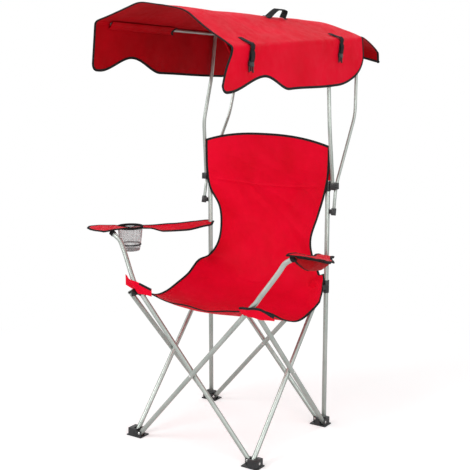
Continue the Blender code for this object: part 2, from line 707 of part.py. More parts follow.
def make_yoke(side):
    """The moving block that holds the canopy tube and the brace and turns on the bolt."""
    name = ("left" if side > 0 else "right") + "_yoke"
    hub = hub_point(side)
    inner = POST_X + TUBE_R + COLLAR_WALL + FIT_GAP + RUN_GAP
    outer = SIDE_FRAME_X + BRACE_OUT + BRACE_R + YOKE_WALL
    x_pair = sorted((side * inner, side * outer))
    front = POST_Y - CANOPY_TUBE_R - YOKE_WALL
    back = POST_Y + BRACE_HUB_BACK + BRACE_R + YOKE_WALL
    obj = block(name, (x_pair[0], front, HUB_Z - YOKE_DROP), (x_pair[1], back, HUB_Z + YOKE_DROP), chair, FOOT_EDGE)
    hub_low = Vector((0, POST_Y, HUB_Z))
    obj.data.transform(Matrix.Translation(hub_low)
                       @ Matrix.Rotation(math.radians(CANOPY_TWIST_DEG) * side, 4, "X")
                       @ Matrix.Translation(-hub_low))
    along = (front_tube_knee(side) - hub).normalized()
    start = hub - along * (BOLT_R * 2 + FIT_GAP)
    socket = cylinder(name + "_socket", start + along * CUT_OVER, along, CANOPY_TUBE_R + FIT_GAP,
                      CUT_OVER * 2, guides, 24)
    boolean(obj, socket, "DIFFERENCE")
    line = brace_line(side)
    keep = [p for p in line if abs(p.z - HUB_Z) < YOKE_DROP + CUT_OVER * 2]
    before = line[line.index(keep[0]) - 1] if line.index(keep[0]) > 0 else keep[0]
    after = line[line.index(keep[-1]) + 1]
    bore = tube_solid(name + "_brace_bore", [before, *keep, after], BRACE_R + FIT_GAP)
    boolean(obj, bore, "DIFFERENCE")
    drill(obj, hub, X_AXIS, BOLT_R + RIVET_SLACK, (outer - inner) * 2)
    return painted(obj, "black_plastic")


def tube_solid(name, points, radius):
    """A solid bar along points, used only as a cutter."""
    curve = bpy.data.curves.new(name + "_line", "CURVE")
    curve.dimensions = "3D"
    curve.bevel_depth = radius
    curve.bevel_resolution = TUBE_ROUNDNESS
    curve.use_fill_caps = True
    spline = curve.splines.new("POLY")
    spline.points.add(len(points) - 1)
    for target, point in zip(spline.points, points):
        target.co = (*point, 1)
    line = bpy.data.objects.new(name + "_line", curve)
    guides.objects.link(line)
    view = bpy.context.evaluated_depsgraph_get()
    mesh = bpy.data.meshes.new_from_object(line.evaluated_get(view), depsgraph=view)
    bpy.data.objects.remove(line, do_unlink=True)
    bm = bmesh.new()
    bm.from_mesh(mesh)
    bmesh.ops.remove_doubles(bm, verts=bm.verts, dist=CLOTH_T / 100)
    bmesh.ops.recalc_face_normals(bm, faces=bm.faces)
    bm.to_mesh(mesh)
    bm.free()
    return add_mesh(name, mesh, guides)


def make_bolt(side):
    """The pivot bolt through the post, its sleeve and the yoke."""
    name = ("left" if side > 0 else "right") + "_pivot_bolt"
    inner = POST_X - TUBE_R - COLLAR_WALL - FIT_GAP
    outer = SIDE_FRAME_X + BRACE_OUT + BRACE_R + YOKE_WALL
    centre = Vector((side * (inner + outer) / 2, POST_Y, HUB_Z))
    bolt = shaft_with_heads(name, centre, X_AXIS, BOLT_R, BOLT_HEAD_R, BOLT_HEAD_T, outer - inner, chair)
    return painted(bolt, "bright_steel")


def make_brace_clip(side):
    """The end cap of the brace, with a lip that rests against the post."""
    name = ("left" if side > 0 else "right") + "_brace_clip"
    line = brace_line(side)
    end = line[0]
    along = (line[1] - end).normalized()
    obj = cylinder(name, end, along, CAP_R, CAP_HALF_H * 2, chair, 24)
    lip_x = sorted((side * (POST_X + TUBE_R + FIT_GAP), side * (abs(end.x))))
    lip = block(name + "_lip", (lip_x[0], end.y - CAP_R * 0.6, end.z - CAP_HALF_H * 0.6),
                (lip_x[1], end.y + CAP_R * 0.6, end.z + CAP_HALF_H * 0.6), guides)
    boolean(obj, lip, "UNION")
    bore_at = end + along * (CAP_HALF_H - FIT_GAP)
    bore = cylinder(name + "_bore", bore_at, along, BRACE_R + FIT_GAP, CAP_HALF_H * 2, guides, 24)
    boolean(obj, bore, "DIFFERENCE")
    return painted(obj, "black_plastic")


# Cloth pieces
def grid_sheet(name, columns, rows, place, thickness, group, keep=None):
    """A sheet of columns by rows whose points are put in place by a rule, given its thickness."""
    mesh = bpy.data.meshes.new(name)
    bm = bmesh.new()
    bmesh.ops.create_grid(bm, x_segments=columns, y_segments=rows, size=1)
    spots = {v: (round((v.co.x + 1) / 2 * columns), round((v.co.y + 1) / 2 * rows)) for v in bm.verts}
    for v, spot in spots.items():
        v.co = place(*spot)
    if keep:
        loose = [f for f in bm.faces if not keep(min(spots[v][0] for v in f.verts), min(spots[v][1] for v in f.verts))]
        bmesh.ops.delete(bm, geom=loose, context="FACES")
    bm.to_mesh(mesh)
    bm.free()
    obj = add_mesh(name, mesh, group)
    wall = obj.modifiers.new("cloth", "SOLIDIFY")
    wall.thickness = thickness
    wall.offset = 0
    wall.use_even_offset = True
    return round_ends(obj)


FLAP_COLUMNS = 3
PANEL_COLUMNS = 3
TOP_COLUMNS = 4
FLAP_ROWS = 20
REAR_ROWS = 7


def spine(row):
    """Place along the canopy: front to back, height lost, and share of the way to the bend."""
    if row <= FLAP_ROWS:
        y = CANOPY_FRONT_Y + (FLAP_END_Y - CANOPY_FRONT_Y) * row / FLAP_ROWS
        arc = max(0, y - CANOPY_BEND_Y)
    else:
        bend = CANOPY_BEND_R * math.radians(CANOPY_BEND_DEG)
        rest = bend + REAR_FLAP - (FLAP_END_Y - CANOPY_BEND_Y)
        arc = FLAP_END_Y - CANOPY_BEND_Y + rest * (row - FLAP_ROWS) / REAR_ROWS
        y = CANOPY_BEND_Y
    share = max(0, min(1, (y - CANOPY_FRONT_Y) / (CANOPY_BEND_Y - CANOPY_FRONT_Y)))
    if arc <= 0:
        return y, 0.0, share
    angle = min(arc / CANOPY_BEND_R, math.radians(CANOPY_BEND_DEG))
    rest = max(0, arc - CANOPY_BEND_R * math.radians(CANOPY_BEND_DEG))
    back = CANOPY_BEND_R * math.sin(angle) + rest * math.cos(angle)
    drop = CANOPY_BEND_R * (1 - math.cos(angle)) + rest * math.sin(angle)
    return CANOPY_BEND_Y + back, drop, 1.0


def flap_depth(y):
    """Depth of the side flap: a lobe at the front corner, one wave, then straight to a round corner."""
    span = FLAP_END_Y - CANOPY_FRONT_Y
    share = (y - CANOPY_FRONT_Y) / span
    wave = 0.5 - 0.5 * math.cos(2 * math.pi * min(1, share / 0.37))
    depth = FLAP_DEPTH - FLAP_WAVE * wave
    left = FLAP_END_Y - y
    if left < FLAP_CORNER:
        lost = FLAP_CORNER - math.sqrt(max(0, FLAP_CORNER ** 2 - (FLAP_CORNER - left) ** 2))
        depth -= lost
    return depth


def canopy_columns():
    """Distance out and share of flap depth for each column, from the right hem to the left hem."""
    half = [(CANOPY_HALF_W, 1 - i / FLAP_COLUMNS) for i in range(FLAP_COLUMNS)]
    half += [(CANOPY_HALF_W + (RIDGE_HALF_W - CANOPY_HALF_W) * i / PANEL_COLUMNS, 0) for i in range(PANEL_COLUMNS)]
    middle = [(RIDGE_HALF_W - 2 * RIDGE_HALF_W * i / TOP_COLUMNS, 0) for i in range(TOP_COLUMNS + 1)]
    right = [(-x, d) for x, d in half]
    return right + [(-x, d) for x, d in middle] + [(x, d) for x, d in reversed(half)]


def make_canopy():
    """One continuous sheet: side flap, slanting panel, flat top, slanting panel and side flap,
    with a rear part that bends down."""
    columns = canopy_columns()

    def place(col, row):
        x, depth_share = columns[col]
        y, drop, share = spine(row)
        side = 1 if x > 0 else -1
        bow = FRONT_BOW * (1 - (x / CANOPY_HALF_W) ** 2) * (1 - min(1, row / FLAP_ROWS))
        height = FOLD_Z + panel_height(x, share) * (1 - drop / FLAP_DEPTH * 0.35) - drop
        down = flap_depth(y) * depth_share if depth_share else 0
        out = x + side * FLAP_FLARE * down / FLAP_DEPTH
        point = Vector((out, y + bow, height - down))
        return leaning(point, out / RAIL_X)

    def keep(col, row):
        flap = col < FLAP_COLUMNS or col >= len(columns) - 1 - FLAP_COLUMNS
        return not (flap and row >= FLAP_ROWS)

    obj = grid_sheet("canopy", len(columns) - 1, FLAP_ROWS + REAR_ROWS, place, CLOTH_T, chair, keep)
    return painted(obj, "red_cloth")


def on_canopy(x, y, lift):
    """A point on the canopy's upper side, raised by lift."""
    share = (y - CANOPY_FRONT_Y) / (CANOPY_BEND_Y - CANOPY_FRONT_Y)
    bow = FRONT_BOW * (1 - (x / CANOPY_HALF_W) ** 2) * (1 - (y - CANOPY_FRONT_Y) / (FLAP_END_Y - CANOPY_FRONT_Y))
    point = Vector((x, y + bow, FOLD_Z + panel_height(x, share) + lift))
    return leaning(point, x / RAIL_X)


def make_handle():
    """The webbing carry loop on the canopy's left ridge."""
    steps = 12
    x = RIDGE_HALF_W

    def place(col, row):
        along = row / steps
        rise = HANDLE_RISE * math.sin(math.pi * along) ** 0.7
        across = (col / 2 - 0.5) * HANDLE_W
        return on_canopy(x + across, HANDLE_Y + HANDLE_LEN * along, CLOTH_T + WEB_T / 2 + rise)

    return painted(grid_sheet("carry_handle", 2, steps, place, WEB_T, chair), "black_web")


def make_strap(side, where):
    """A webbing strap down the side flap, ending in half of a buckle."""
    name = ("left" if side > 0 else "right") + "_" + where + "_strap"
    y = STRAP_FRONT_Y if where == "front" else STRAP_REAR_Y
    gap = CLOTH_T / 2 + FIT_GAP + WEB_T / 2

    def place(col, row):
        down = STRAP_LEN * row / 6
        out = CANOPY_HALF_W + gap + FLAP_FLARE * (down + WEB_T) / FLAP_DEPTH
        across = y + (col / 2 - 0.5) * STRAP_W
        return leaning(Vector((side * out, across, FOLD_Z - WEB_T - down)), side)

    obj = grid_sheet(name, 2, 6, place, WEB_T, chair)
    low = FOLD_Z - STRAP_LEN
    out = CANOPY_HALF_W + gap + FLAP_FLARE * (STRAP_LEN + BUCKLE_LEN / 2 + WEB_T) / FLAP_DEPTH - WEB_T / 2
    x_pair = sorted((side * out, side * (out + BUCKLE_T)))
    tip = block(name + "_buckle", (x_pair[0], y - BUCKLE_W / 2, low - BUCKLE_LEN / 2),
                (x_pair[1], y + BUCKLE_W / 2, low + BUCKLE_LEN / 2), guides, WEB_T)
    hub = Vector((0, POST_Y, HUB_Z))
    tip.data.transform(Matrix.Translation(hub - Z_AXIS * (CANOPY_LEFT_DROP * side))
                       @ Matrix.Rotation(math.radians(CANOPY_TWIST_DEG) * side, 4, "X")
                       @ Matrix.Translation(-hub))
    boolean(obj, tip, "UNION")
    return painted(obj, "black_web")


# Sling stations, back top to seat front: half width as a share of the post's distance, place
# between seat front and post, and height, at the edge and then at the middle
SLING_SHARES = (
    (1.00, 1.00, 1.00, 1.00, 1.00),
    (1.00, 1.00, 0.90, 1.03, 0.88),
    (0.985, 0.990, 0.78, 1.06, 0.74),
    (0.945, 0.990, 0.64, 1.08, 0.60),
    (0.835, 1.00, 0.49, 1.09, 0.45),
    (0.745, 1.00, 0.34, 1.08, 0.30),
    (0.775, 0.99, 0.20, 1.05, 0.16),
    (0.875, 0.965, 0.09, 1.00, 0.05),
    (0.925, 0.92, 0.01, 0.91, -0.05),
    (0.90, 0.80, -0.085, 0.78, -0.115),
    (0.87, 0.62, -0.15, 0.60, -0.155),
    (0.865, 0.42, -0.165, 0.42, -0.165),
    (0.885, 0.22, -0.115, 0.24, -0.150),
    (0.94, 0.08, -0.01, 0.10, -0.115),
    (0.985, 0.00, 0.00, 0.03, -0.080),
)
SLING_STEPS = 2
SLING_COLUMNS = 12


def sling_station(place):
    """A station between two rows of the sling's table, on a smooth curve through them."""
    last = len(SLING_SHARES) - 1
    i = min(int(place), last - 1)
    t = place - i
    rows = [SLING_SHARES[max(0, min(last, i + k))] for k in (-1, 0, 1, 2)]
    out = []
    for a, b, c, d in zip(*rows):
        out.append(0.5 * (2 * b + (c - a) * t + (2 * a - 5 * b + 4 * c - d) * t * t
                          + (3 * b - a - 3 * c + d) * t ** 3))
    return out


def make_sling():
    """Back and seat in one hanging sheet between the posts, collars and front corners."""
    rows = (len(SLING_SHARES) - 1) * SLING_STEPS
    edge_y = POST_Y - TUBE_R - FIT_GAP - SLING_T / 2
    height = BACK_TOP_Z - SEAT_Z

    def place(col, row):
        half, edge_back, edge_up, mid_back, mid_up = sling_station(row / SLING_STEPS)
        u = 2 * col / SLING_COLUMNS - 1
        fall = (1 - abs(u) ** 2.4)
        back = edge_back + (mid_back - edge_back) * fall
        up = edge_up + (mid_up - edge_up) * fall
        y = SEAT_FRONT_Y + (edge_y - SEAT_FRONT_Y) * back
        z = SEAT_Z + height * up
        if row / SLING_STEPS <= 1:
            z += BACK_ARCH * fall * (1 - row / SLING_STEPS)
        return Vector((u * half * POST_X, y, z))

    obj = grid_sheet("seat_and_back_sling", SLING_COLUMNS, rows, place, SLING_T, chair)
    return painted(obj, "red_cloth")


# Armrest outline stations, front to rear: outer and inner edge out from the post's distance,
# as shares of the way to the front outer corner
ARM_SHARES = (
    (0.00, 0.80, 0.52),
    (0.035, 0.93, 0.49),
    (0.09, 1.00, 0.46),
    (0.18, 0.975, 0.42),
    (0.30, 0.90, 0.37),
    (0.42, 0.78, 0.32),
    (0.55, 0.62, 0.24),
    (0.70, 0.42, 0.11),
    (0.84, 0.26, -0.02),
    (0.94, 0.18, -0.10),
    (1.00, 0.10, -0.04),
)
ARM_COLUMNS = 5


def arm_edges(share):
    """How far out the armrest's outer and inner edges lie at a share of its length."""
    last = len(ARM_SHARES) - 1
    i = 0
    while i < last - 1 and ARM_SHARES[i + 1][0] <= share:
        i += 1
    low = ARM_SHARES[i]
    high = ARM_SHARES[i + 1]
    t = (share - low[0]) / (high[0] - low[0])
    reach = ARM_FRONT_OUT_X - POST_X
    return [POST_X + reach * (low[k] + (high[k] - low[k]) * t) for k in (1, 2)]


def arm_surface(side, share, across):
    """A point of the armrest: share runs front to rear, across from outer to inner edge."""
    outer, inner = arm_edges(share)
    x = outer + (inner - outer) * across
    y = ARM_FRONT_Y + ARM_LENGTH * share
    rear = ARM_REAR_Z_LEFT if side > 0 else ARM_REAR_Z_RIGHT
    z = max(ARM_FRONT_Z, arm_tube_top() + FIT_GAP + ARM_T / 2)
    z += (rear - z) * share ** 1.3
    z -= ARM_SAG * math.sin(math.pi * max(0, (share - 0.2) / 0.8)) * (0.4 + 0.6 * across)
    return Vector((side * x, y, z))


def arm_height(side, x, y):
    share = (y - ARM_FRONT_Y) / ARM_LENGTH
    outer, inner = arm_edges(share)
    return arm_surface(side, share, (outer - x) / (outer - inner)).z


def make_armrest(side):
    name = ("left" if side > 0 else "right") + "_armrest"
    rows = 18

    def place(col, row):
        return arm_surface(side, row / rows, col / ARM_COLUMNS)

    obj = grid_sheet(name, ARM_COLUMNS, rows, place, ARM_T, chair)
    post_hole = cylinder(name + "_post_hole", Vector((side * POST_X, POST_Y, arm_height(side, POST_X, POST_Y))),
                         Z_AXIS, TUBE_R + FIT_GAP, CUT_OVER * 4, guides, 24)
    boolean(obj, post_hole, "DIFFERENCE")
    if side < 0:
        cup_hole = cylinder(name + "_cup_hole", Vector((side * CUP_X, CUP_Y, ARM_FRONT_Z)), Z_AXIS,
                            CUP_TOP_R + FIT_GAP, CUT_OVER * 4, guides, 28)
        boolean(obj, cup_hole, "DIFFERENCE")
    return painted(obj, "red_cloth")


def make_cup():
    """The net cup under the right armrest, open at the top."""
    top = arm_height(-1, CUP_X, CUP_Y) + ARM_T
    r1 = CUP_TOP_R
    r2 = CUP_BASE_R
    profile = [(r1, 0), (r2, -CUP_DEPTH), (0, -CUP_DEPTH), (0, -CUP_DEPTH + CUP_BASE_T),
               (r2 - CUP_WALL, -CUP_DEPTH + CUP_BASE_T), (r1 - CUP_WALL, 0), (r1, 0)]
    cup = turned("mesh_cup", profile, Vector((-CUP_X, CUP_Y, top)), Z_AXIS, chair, 28)
    return painted(cup, "grey_mesh")


def make_pocket():
    """The cloth pocket that hangs under the left armrest, open at the top."""
    steps = 12

    def place(col, row):
        along = 2 * row / steps - 1
        turn = math.pi * col / 8
        width = POCKET_W / 2 * math.sqrt(max(0.02, 1 - along ** 4))
        depth = POCKET_DEPTH * math.sqrt(max(0.02, 1 - along ** 2))
        x = POCKET_X + width * math.cos(turn)
        y = POCKET_Y + POCKET_LEN / 2 * along
        top = arm_height(1, x, y) - ARM_T / 2 - POCKET_CLEAR
        return Vector((x, y, top - depth * math.sin(turn)))

    return painted(grid_sheet("side_pocket", 8, steps, place, CLOTH_T, chair), "red_cloth")


def put_on_pivots():
    """Parent each moving body's pieces to an empty on the body's joint axis."""
    foot_z = FOOT_PIN_Z
    hub_axis = Vector((0, POST_Y, HUB_Z))
    pivots = {
        "rear_tube_a": ((-HALF_SPAN, rear_y("a"), foot_z), ["rear_tube_a", "rear_crossing_rivet"]),
        "rear_tube_b": ((0, REAR_PLANE_Y, CROSS_Z), ["rear_tube_b"]),
        "left_post": ((HALF_SPAN, rear_y("b"), foot_z),
                      ["rear_left_foot", "rear_left_foot_cross_rivet", "rear_left_foot_side_rivet", "left_post",
                       "left_post_plug", "left_hub", "left_pivot_bolt", "left_armrest", "side_pocket"]),
        "left_collar": ((HALF_SPAN, rear_y("a"), TOP_PIN_Z), ["left_collar"]),
        "right_collar": ((-HALF_SPAN, rear_y("b"), TOP_PIN_Z), ["right_collar"]),
        "right_side_tube_b": ((-side_x("b"), HALF_SPAN, foot_z), ["right_side_tube_b", "right_crossing_rivet"]),
        "right_side_tube_a": ((-POST_X, 0, CROSS_Z), ["right_side_tube_a"]),
        "front_right_foot": ((-side_x("a"), -HALF_SPAN, foot_z),
                             ["front_right_foot", "front_right_foot_cross_rivet", "front_right_foot_side_rivet"]),
        "front_tube_a": ((-HALF_SPAN, front_y("a"), foot_z), ["front_tube_a", "front_crossing_rivet"]),
        "front_tube_b": ((0, FRONT_PLANE_Y, CROSS_Z), ["front_tube_b"]),
        "front_left_foot": ((HALF_SPAN, front_y("b"), foot_z),
                            ["front_left_foot", "front_left_foot_cross_rivet", "front_left_foot_side_rivet"]),
        "left_corner_bracket": ((HALF_SPAN, front_y("a"), TOP_PIN_Z), ["left_corner_bracket"]),
        "right_corner_bracket": ((-HALF_SPAN, front_y("b"), TOP_PIN_Z), ["right_corner_bracket"]),
        "left_side_tube_b": ((side_x("b"), HALF_SPAN, foot_z), ["left_side_tube_b", "left_crossing_rivet"]),
        "left_side_tube_a": ((POST_X, 0, CROSS_Z), ["left_side_tube_a"]),
        "right_canopy_frame": (hub_axis, ["right_yoke", "right_canopy_tube", "right_canopy_brace",
                                          "right_brace_clip", "right_canopy_rail", "canopy", "carry_handle",
                                          "right_front_strap", "right_rear_strap", "left_front_strap",
                                          "left_rear_strap"]),
        "left_canopy_frame": (hub_axis, ["left_yoke", "left_canopy_tube", "left_canopy_brace",
                                         "left_brace_clip", "left_canopy_rail"]),
    }
    for name, (place, nodes) in pivots.items():
        pivot = bpy.data.objects.new(name + "_pivot", None)
        pivot.location = Vector(place)
        pivot.empty_display_size = TUBE_R
        guides.objects.link(pivot)
        for node in nodes:
            child = bpy.data.objects[node]
            child.data.transform(Matrix.Translation(-Vector(place)))
            child.parent = pivot


def centre_front_to_back():
    """Move everything so that the whole chair reaches equally far forward and back of the origin."""
    view = bpy.context.evaluated_depsgraph_get()
    view.update()
    reach = [(obj.matrix_world @ Vector(corner)).y for obj in chair.objects
             for corner in obj.evaluated_get(view).bound_box]
    middle = (min(reach) + max(reach)) / 2
    for obj in [*chair.objects, *guides.objects]:
        if obj.parent is None:
            obj.location.y -= middle


clear_scene()
chair = new_collection("canopy_camping_chair")
guides = new_collection("cutters_and_pivots")
for tube_letter in ("a", "b"):
    make_rear_tube(tube_letter)
    make_front_tube(tube_letter)
make_crossing_rivets()
for chair_side in (-1, 1):
    for tube_letter in ("a", "b"):
        make_side_tube(chair_side, tube_letter)
    for chair_end in (-1, 1):
        make_foot(chair_side, chair_end)
    make_post(chair_side)
    make_post_plug(chair_side)
    make_collar(chair_side)
    make_corner_bracket(chair_side)
    make_hub(chair_side)
    make_yoke(chair_side)
    make_bolt(chair_side)
    make_canopy_tube(chair_side)
    make_brace(chair_side)
    make_brace_clip(chair_side)
    make_side_rail(chair_side)
    make_armrest(chair_side)
    for strap_place in ("front", "rear"):
        make_strap(chair_side, strap_place)
make_sling()
make_cup()
make_pocket()
make_canopy()
make_handle()
put_on_pivots()
centre_front_to_back()
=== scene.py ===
"""Folding camping chair with a tilting sun canopy: cloth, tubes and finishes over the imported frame.

Sizes are in metres. The chair faces -Y, its left side is +X, and it stands on Z = 0. Places along
Y are measured from the middle of the scissor frame and moved by MIDDLE_Y into the row frame.
"""

import bpy
import json
import math
from mathutils import Matrix, Vector, noise

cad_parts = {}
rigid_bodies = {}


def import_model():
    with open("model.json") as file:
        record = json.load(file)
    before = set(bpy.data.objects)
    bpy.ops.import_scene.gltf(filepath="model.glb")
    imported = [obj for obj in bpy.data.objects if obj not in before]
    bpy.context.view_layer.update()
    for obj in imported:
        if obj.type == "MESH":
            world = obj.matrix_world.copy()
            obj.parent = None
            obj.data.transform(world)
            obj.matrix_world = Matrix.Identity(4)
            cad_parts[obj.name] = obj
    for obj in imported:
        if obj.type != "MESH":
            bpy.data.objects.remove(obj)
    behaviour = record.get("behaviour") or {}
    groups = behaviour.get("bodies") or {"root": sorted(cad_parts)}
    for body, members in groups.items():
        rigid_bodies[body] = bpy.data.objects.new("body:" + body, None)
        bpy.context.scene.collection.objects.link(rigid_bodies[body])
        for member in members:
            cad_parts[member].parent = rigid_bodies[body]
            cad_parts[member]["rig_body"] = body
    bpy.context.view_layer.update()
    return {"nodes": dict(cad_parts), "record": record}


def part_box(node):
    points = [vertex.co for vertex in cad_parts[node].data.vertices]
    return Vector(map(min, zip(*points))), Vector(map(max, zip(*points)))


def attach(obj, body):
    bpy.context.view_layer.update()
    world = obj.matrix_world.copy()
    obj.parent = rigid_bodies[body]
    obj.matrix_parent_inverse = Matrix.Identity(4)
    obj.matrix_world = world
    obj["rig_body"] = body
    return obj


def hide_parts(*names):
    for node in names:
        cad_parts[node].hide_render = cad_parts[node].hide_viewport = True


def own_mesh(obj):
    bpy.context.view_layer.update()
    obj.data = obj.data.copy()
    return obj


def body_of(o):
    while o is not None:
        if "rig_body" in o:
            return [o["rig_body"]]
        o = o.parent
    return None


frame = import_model()

# Scissor frame
HALF_SPAN = 0.214
FOOT_PIN_Z = 0.0145
TOP_PIN_Z = 0.497
TUBE_R = 0.008
TUBE_WALL = 0.001
TUBE_END = 0.0055
TUBE_STEP = 0.0082
FIT_GAP = 0.0003
FRONT_PLANE_IN = 0.0015
REAR_PLANE_OUT = 0.012
POST_X = 0.243
POST_FROM_SPAN = 0.020
POST_FOOT_Z = 0.0045
POST_TOP_Z = 0.971
PLATE_HALF_H = 0.0085
PLATE_T = 0.004

# Arm tubes
SEAT_BEND_Z = 0.535
ARM_BEND_Z = 0.665
ARM_END_X = 0.356
ARM_LEAN = math.radians(30.0)
ARM_END_LEAN = math.radians(58.0)
BEND_R = 0.045
ARM_SET_BACK = 0.024
ARM_SET_OUT = {-1: 0.012, 1: 0.002}

# Canopy side frames
HUB_Z = 0.844
SIDE_FRAME_X = 0.2615
BRACE_OUT = 0.005
CANOPY_TUBE_R = 0.0065
RAIL_R = 0.0055
THIN_WALL = 0.0009
FRONT_TUBE_LEAN = 0.020
FRONT_TUBE_BEND_Z = 1.043
FRONT_TUBE_TOP_BACK = 0.022
FLAP_PASS_SHARE = 0.5
BRACE_HUB_BACK = 0.0135
BRACE_END_Z = 0.758
BRACE_END_FORE = 0.003
BRACE_KNEE_Z = 1.070
BRACE_KNEE_BACK = 0.152
BRACE_TOP_BACK = 0.205
RAIL_MOUTH = 0.05

# Canopy cloth
CANOPY_W = 0.258
RIDGE_W = 0.094
RAIL_X = 0.2475
FOLD_Z = 1.342
RISE_FRONT = 0.080
RISE_REAR = 0.052
TOP_CROWN = 0.004
CANOPY_FRONT_Y = -0.374
CANOPY_BEND_Y = 0.450
CANOPY_BEND_R = 0.220
CANOPY_BEND = math.radians(45.0)
REAR_HEM = 0.014
FRONT_BOW = 0.026
FLAP_END_Y = 0.458
FLAP_DEPTH = 0.142
FLAP_FLARE = 0.008
FLAP_FRONT_CORNER = 0.022
CANOPY_TWIST = math.radians(2.35)
LEFT_DROP = 0.0135
CLOTH_T = 0.0012
CAD_CLOTH_T = 0.0016
TAPE_W = 0.0075
TAPE_T = 0.0034

# Seat, back and armrests
BACK_TOP_Z = 0.976
BACK_ARCH = 0.036
ARM_FRONT_Y = -0.225
ARM_LENGTH = 0.470
ARM_FRONT_Z = 0.699
ARM_REAR_Z = {-1: 0.666, 1: 0.595}
ARM_FRONT_OUT_X = 0.462
ARM_SAG = 0.010
CUP_X = 0.378
CUP_Y = -0.062
CUP_TOP_R = 0.043
CUP_BASE_R = 0.032
CUP_DEPTH = 0.082
POCKET_LEN = 0.190
POCKET_W = 0.060
POCKET_SAG = 0.043
POCKET_AHEAD = 0.045
POCKET_SHORT = 0.016
POCKET_Y = -0.056
POCKET_X = 0.365

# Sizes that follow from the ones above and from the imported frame
post_low, post_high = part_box("left_post")
POST_Y = (post_low[1] + post_high[1]) / 2
MIDDLE_Y = POST_Y - HALF_SPAN - POST_FROM_SPAN
FRONT_PLANE_Y = MIDDLE_Y + FRONT_PLANE_IN - HALF_SPAN
REAR_PLANE_Y = MIDDLE_Y + HALF_SPAN + REAR_PLANE_OUT
LEAN = math.atan2(2 * HALF_SPAN, TOP_PIN_Z - FOOT_PIN_Z)
SEAT_Z = TOP_PIN_Z + PLATE_HALF_H * 1.5
SEAT_FRONT_Y = FRONT_PLANE_Y + TUBE_STEP + TUBE_R + FIT_GAP * 2 + PLATE_T * 1.25 + CAD_CLOTH_T / 4
SEAT_REAR_Y = POST_Y - TUBE_R - FIT_GAP - CAD_CLOTH_T / 2
X_AXIS = Vector((1, 0, 0))
Y_AXIS = Vector((0, 1, 0))
Z_AXIS = Vector((0, 0, 1))
SIDES = ((-1, "right"), (1, "left"))


# Finishes
def new_material(name, colour, roughness, metallic=0.0):
    mat = bpy.data.materials.new(name)
    mat.use_nodes = True
    shader = mat.node_tree.nodes["Principled BSDF"]
    shader.inputs["Base Color"].default_value = (*colour, 1)
    shader.inputs["Roughness"].default_value = roughness
    shader.inputs["Metallic"].default_value = metallic
    return mat, mat.node_tree.nodes, mat.node_tree.links, shader


def colour_steps(nodes, links, source, stops):
    ramp = nodes.new("ShaderNodeValToRGB")
    elements = ramp.color_ramp.elements
    elements[0].position, elements[0].color = stops[0][0], (*stops[0][1], 1)
    elements[1].position, elements[1].color = stops[-1][0], (*stops[-1][1], 1)
    for place, colour in stops[1:-1]:
        elements.new(place).color = (*colour, 1)
    links.new(source, ramp.inputs["Fac"])
    return ramp.outputs["Color"]


def cloud(nodes, links, coords, scale, detail=2.0, rough=0.5):
    node = nodes.new("ShaderNodeTexNoise")
    node.inputs["Scale"].default_value = scale
    node.inputs["Detail"].default_value = detail
    node.inputs["Roughness"].default_value = rough
    links.new(coords, node.inputs["Vector"])
    return node.outputs["Fac"]


def sum_of(nodes, links, operation, first, second):
    """A Math node on two sources, each a socket or a number."""
    node = nodes.new("ShaderNodeMath")
    node.operation = operation
    for socket, source in zip(node.inputs, (first, second)):
        if isinstance(source, (int, float)):
            socket.default_value = source
        else:
            links.new(source, socket)
    return node.outputs[0]


def bump_on(nodes, links, height, strength, depth, below=None):
    bump = nodes.new("ShaderNodeBump")
    bump.inputs["Strength"].default_value = strength
    bump.inputs["Distance"].default_value = depth
    links.new(height, bump.inputs["Height"])
    if below:
        links.new(below, bump.inputs["Normal"])
    return bump.outputs["Normal"]


def threads_of(nodes, links, pitch_x, pitch_y):
    """Warp and weft waves from the piece's own cloth map, which is in metres."""
    uv = nodes.new("ShaderNodeUVMap")
    uv.uv_map = "cloth"
    split = nodes.new("ShaderNodeSeparateXYZ")
    links.new(uv.outputs["UV"], split.inputs[0])
    waves = []
    for axis, pitch in (("X", pitch_x), ("Y", pitch_y)):
        turns = sum_of(nodes, links, "MULTIPLY", split.outputs[axis], 2 * math.pi / pitch)
        waves.append(sum_of(nodes, links, "SINE", turns, 0))
    return waves, split


def rough_range(nodes, links, source, shader, low, high):
    span = nodes.new("ShaderNodeMapRange")
    span.inputs["From Min"].default_value = 0.3
    span.inputs["From Max"].default_value = 0.7
    span.inputs["To Min"].default_value = low
    span.inputs["To Max"].default_value = high
    links.new(source, span.inputs["Value"])
    links.new(span.outputs["Result"], shader.inputs["Roughness"])


